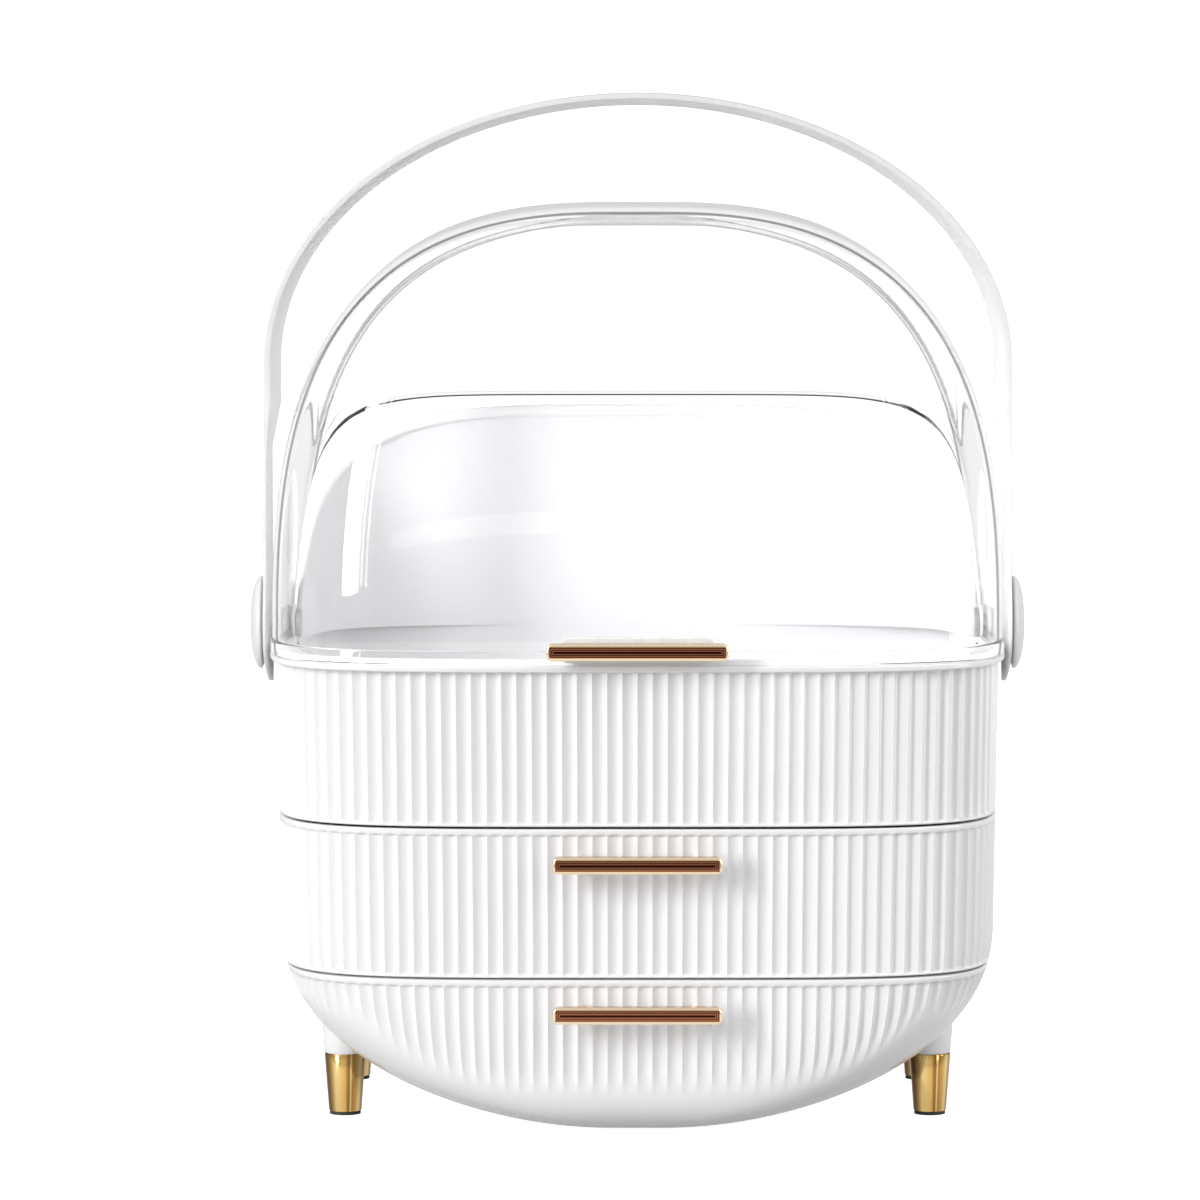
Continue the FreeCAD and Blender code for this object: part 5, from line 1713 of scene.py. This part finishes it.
@dataclass
class Studio:
    """Floor, sky, soft lights and camera."""

    distance: float = 2.766
    eye_height: float = 0.444
    focal_pixels: float = 6915.0
    picture_pixels: float = 1200.0
    centre_shift: float = 37.5
    sensor: float = 36.0
    target: tuple[float, float, float] = (0.0, 0.0, 0.2)
    lights: tuple[SoftLight, ...] = (
        SoftLight("key_left", (-1.6, -1.55, 0.78), (0.34, 1.5), 37.0),
        SoftLight("line_left", (-1.46, -1.9, 0.78), (0.05, 1.5), 2.0),
        SoftLight("broad_right", (1.6, -1.55, 0.78), (0.3, 1.5), 3.5),
        SoftLight("line_right", (1.46, -1.9, 0.78), (0.05, 1.5), 1.4),
        SoftLight("side_right", (0.5, -0.16, 0.3), (0.14, 0.45), 0.7),
        SoftLight("thin_front", (0.0, -3.1, 0.08), (3.0, 0.05), 0.3),
    )
    sky_high: float = 0.76
    sky_low: float = 0.03
    fade_start: float = 0.02
    fade_end: float = 0.5
    paper_front: float = -0.75
    paper_half: float = 4.0
    paper_bend: float = 3.0
    bend_radius: float = 2.0
    paper_grey: float = 0.40
    glow: float = 0.97
    mirrored_share: float = 0.5
    mirrored_sky: float = 0.5

    def make(self) -> None:
        """Builds everything round the object."""
        self.make_sky()
        self.make_floor()
        for light in self.lights:
            self.make_light(light)
        self.make_camera()

    def make_sky(self) -> None:
        """A pale sky over a dim room, white where it is seen directly or through glass.

        A mirror shows at least a share of that white.
        """
        world = bpy.data.worlds.new("studio_sky")
        world.use_nodes = True
        wiring = Wiring(world.node_tree)
        place = wiring.add("ShaderNodeTexCoord")
        split = wiring.add("ShaderNodeSeparateXYZ", {"Vector": place.outputs["Generated"]})
        fade = wiring.add("ShaderNodeMapRange", {
            "Value": split.outputs["Z"], "From Min": self.fade_start,
            "From Max": self.fade_end, "To Min": self.sky_low, "To Max": self.sky_high},
            interpolation_type="SMOOTHSTEP")
        ray = wiring.add("ShaderNodeLightPath").outputs
        least = wiring.maths("MULTIPLY", ray["Is Glossy Ray"], self.mirrored_sky)
        sky = wiring.maths("MAXIMUM", fade.outputs["Result"], least)
        # Seen through glass is a ray that has not yet bounced off a matt surface.
        unscattered = wiring.maths("LESS_THAN", ray["Diffuse Depth"], 0.5)
        through = wiring.maths("MULTIPLY", ray["Is Transmission Ray"], unscattered)
        direct = wiring.maths("MAXIMUM", ray["Is Camera Ray"], through)
        seen = wiring.add("ShaderNodeMix", {"Factor": direct, "A": sky, "B": 1.0})
        wiring.feed(world.node_tree.nodes["Background"], {
            "Color": WHITE, "Strength": seen.outputs["Result"]})
        bpy.context.scene.world = world
        bpy.context.scene.view_settings.view_transform = "Standard"

    def make_floor(self) -> None:
        """A sweep of white paper under the object that curves up far behind it.

        The paper is flat up to a bend and then follows a quarter circle.
        """
        across = np.linspace(-self.paper_half, self.paper_half, 3)
        turn = np.linspace(0.0, math.pi / 2, 24)
        y = np.concatenate([[self.paper_front, 0.0],
                            self.paper_bend + self.bend_radius * np.sin(turn)])
        z = np.concatenate([[0.0, 0.0], self.bend_radius * (1.0 - np.cos(turn))])
        grid = np.stack(np.broadcast_arrays(across[None, :], y[:, None], z[:, None]), -1)
        index = np.arange(grid[..., 0].size).reshape(grid.shape[:2])
        mesh = bpy.data.meshes.new("studio_floor")
        mesh.from_pydata(grid.reshape(-1, 3).tolist(), [], quads_of(index).tolist())
        mesh.polygons.foreach_set("use_smooth", np.ones(len(mesh.polygons), bool))
        floor = placed("studio_floor", mesh)
        mesh.materials.append(self.paper())

    def paper(self) -> bpy.types.Material:
        """White paper that looks fully lit where it is seen, also through glass.

        A mirror shows only a share of that light.

        Returns:
            The material.
        """
        made = bpy.data.materials.new("studio_paper")
        made.use_nodes = True
        wiring = Wiring(made.node_tree)
        ray = wiring.add("ShaderNodeLightPath").outputs
        seen = wiring.maths("MULTIPLY", ray["Is Glossy Ray"], self.mirrored_share)
        for kind in ("Is Camera Ray", "Is Transmission Ray"):
            seen = wiring.maths("MAXIMUM", seen, ray[kind])
        wiring.feed(made.node_tree.nodes["Principled BSDF"], {
            "Base Color": (*(self.paper_grey,) * 3, 1.0), "Roughness": 0.9,
            "Specular IOR Level": 0.1, "Emission Color": WHITE,
            "Emission Strength": wiring.maths("MULTIPLY", seen, self.glow)})
        return made

    def make_light(self, light: SoftLight) -> None:
        """A soft light aimed at the object.

        Args:
            light: What to build.
        """
        lamp = bpy.data.lights.new(light.name, "AREA")
        lamp.shape = "RECTANGLE"
        lamp.size, lamp.size_y = light.size
        lamp.energy = light.power
        holder = placed(light.name, lamp)
        holder.location = light.place
        aim = Vector(self.target) - Vector(light.place)
        holder.rotation_euler = aim.to_track_quat("-Z", "Y").to_euler()

    def make_camera(self) -> None:
        """A long lens a little above the handle's height, looking slightly down."""
        lens = bpy.data.cameras.new("studio_camera")
        lens.sensor_width = self.sensor
        lens.lens = self.focal_pixels / self.picture_pixels * self.sensor
        lens.shift_x = -self.centre_shift / self.picture_pixels
        lens.clip_start, lens.clip_end = 0.05, 60.0
        camera = placed("studio_camera", lens)
        camera.location = (0.0, PLAN_SHIFT - self.distance, self.eye_height)
        down = math.atan2(self.picture_pixels / 2, self.focal_pixels)
        camera.rotation_euler = (math.pi / 2 - down, 0.0, 0.0)
        bpy.context.scene.camera = camera


def dress_nodes() -> None:
    """Gives the CAD nodes that stay their finishes."""
    for finish, nodes in DRESSED_NODES:
        for node in nodes:
            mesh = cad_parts[node].data
            mesh.materials.clear()
            mesh.materials.append(finish.material())


def main() -> None:
    """Builds the case piece by piece."""
    logging.basicConfig(level=logging.INFO, format="%(message)s")
    Compartment().make()
    CollarAndBack().make()
    LowerShell().make()
    Trays().make()
    for place, height in DRAWER_PULL_HEIGHTS.items():
        _, deep, _ = BodyForm().section(np.array([height]), np.array([0.0]))
        PullBar(f"{place}_pull", f"pull_bar_{place}", f"drawer_{place}", height,
                DRAWER_PULL_LENGTH, float(deep[0])).make()
    plate = LidPlate()
    PullBar("lid_pull", "pull_bar_lid", "lid", plate.middle, LID_PULL_LENGTH,
            plate.front).make()
    Lid().make()
    Handle().make()
    for side in Side:
        PivotCap(side).make()
    Feet().make()
    dress_nodes()
    Studio().make()


if __name__ == "__main__":
    main()
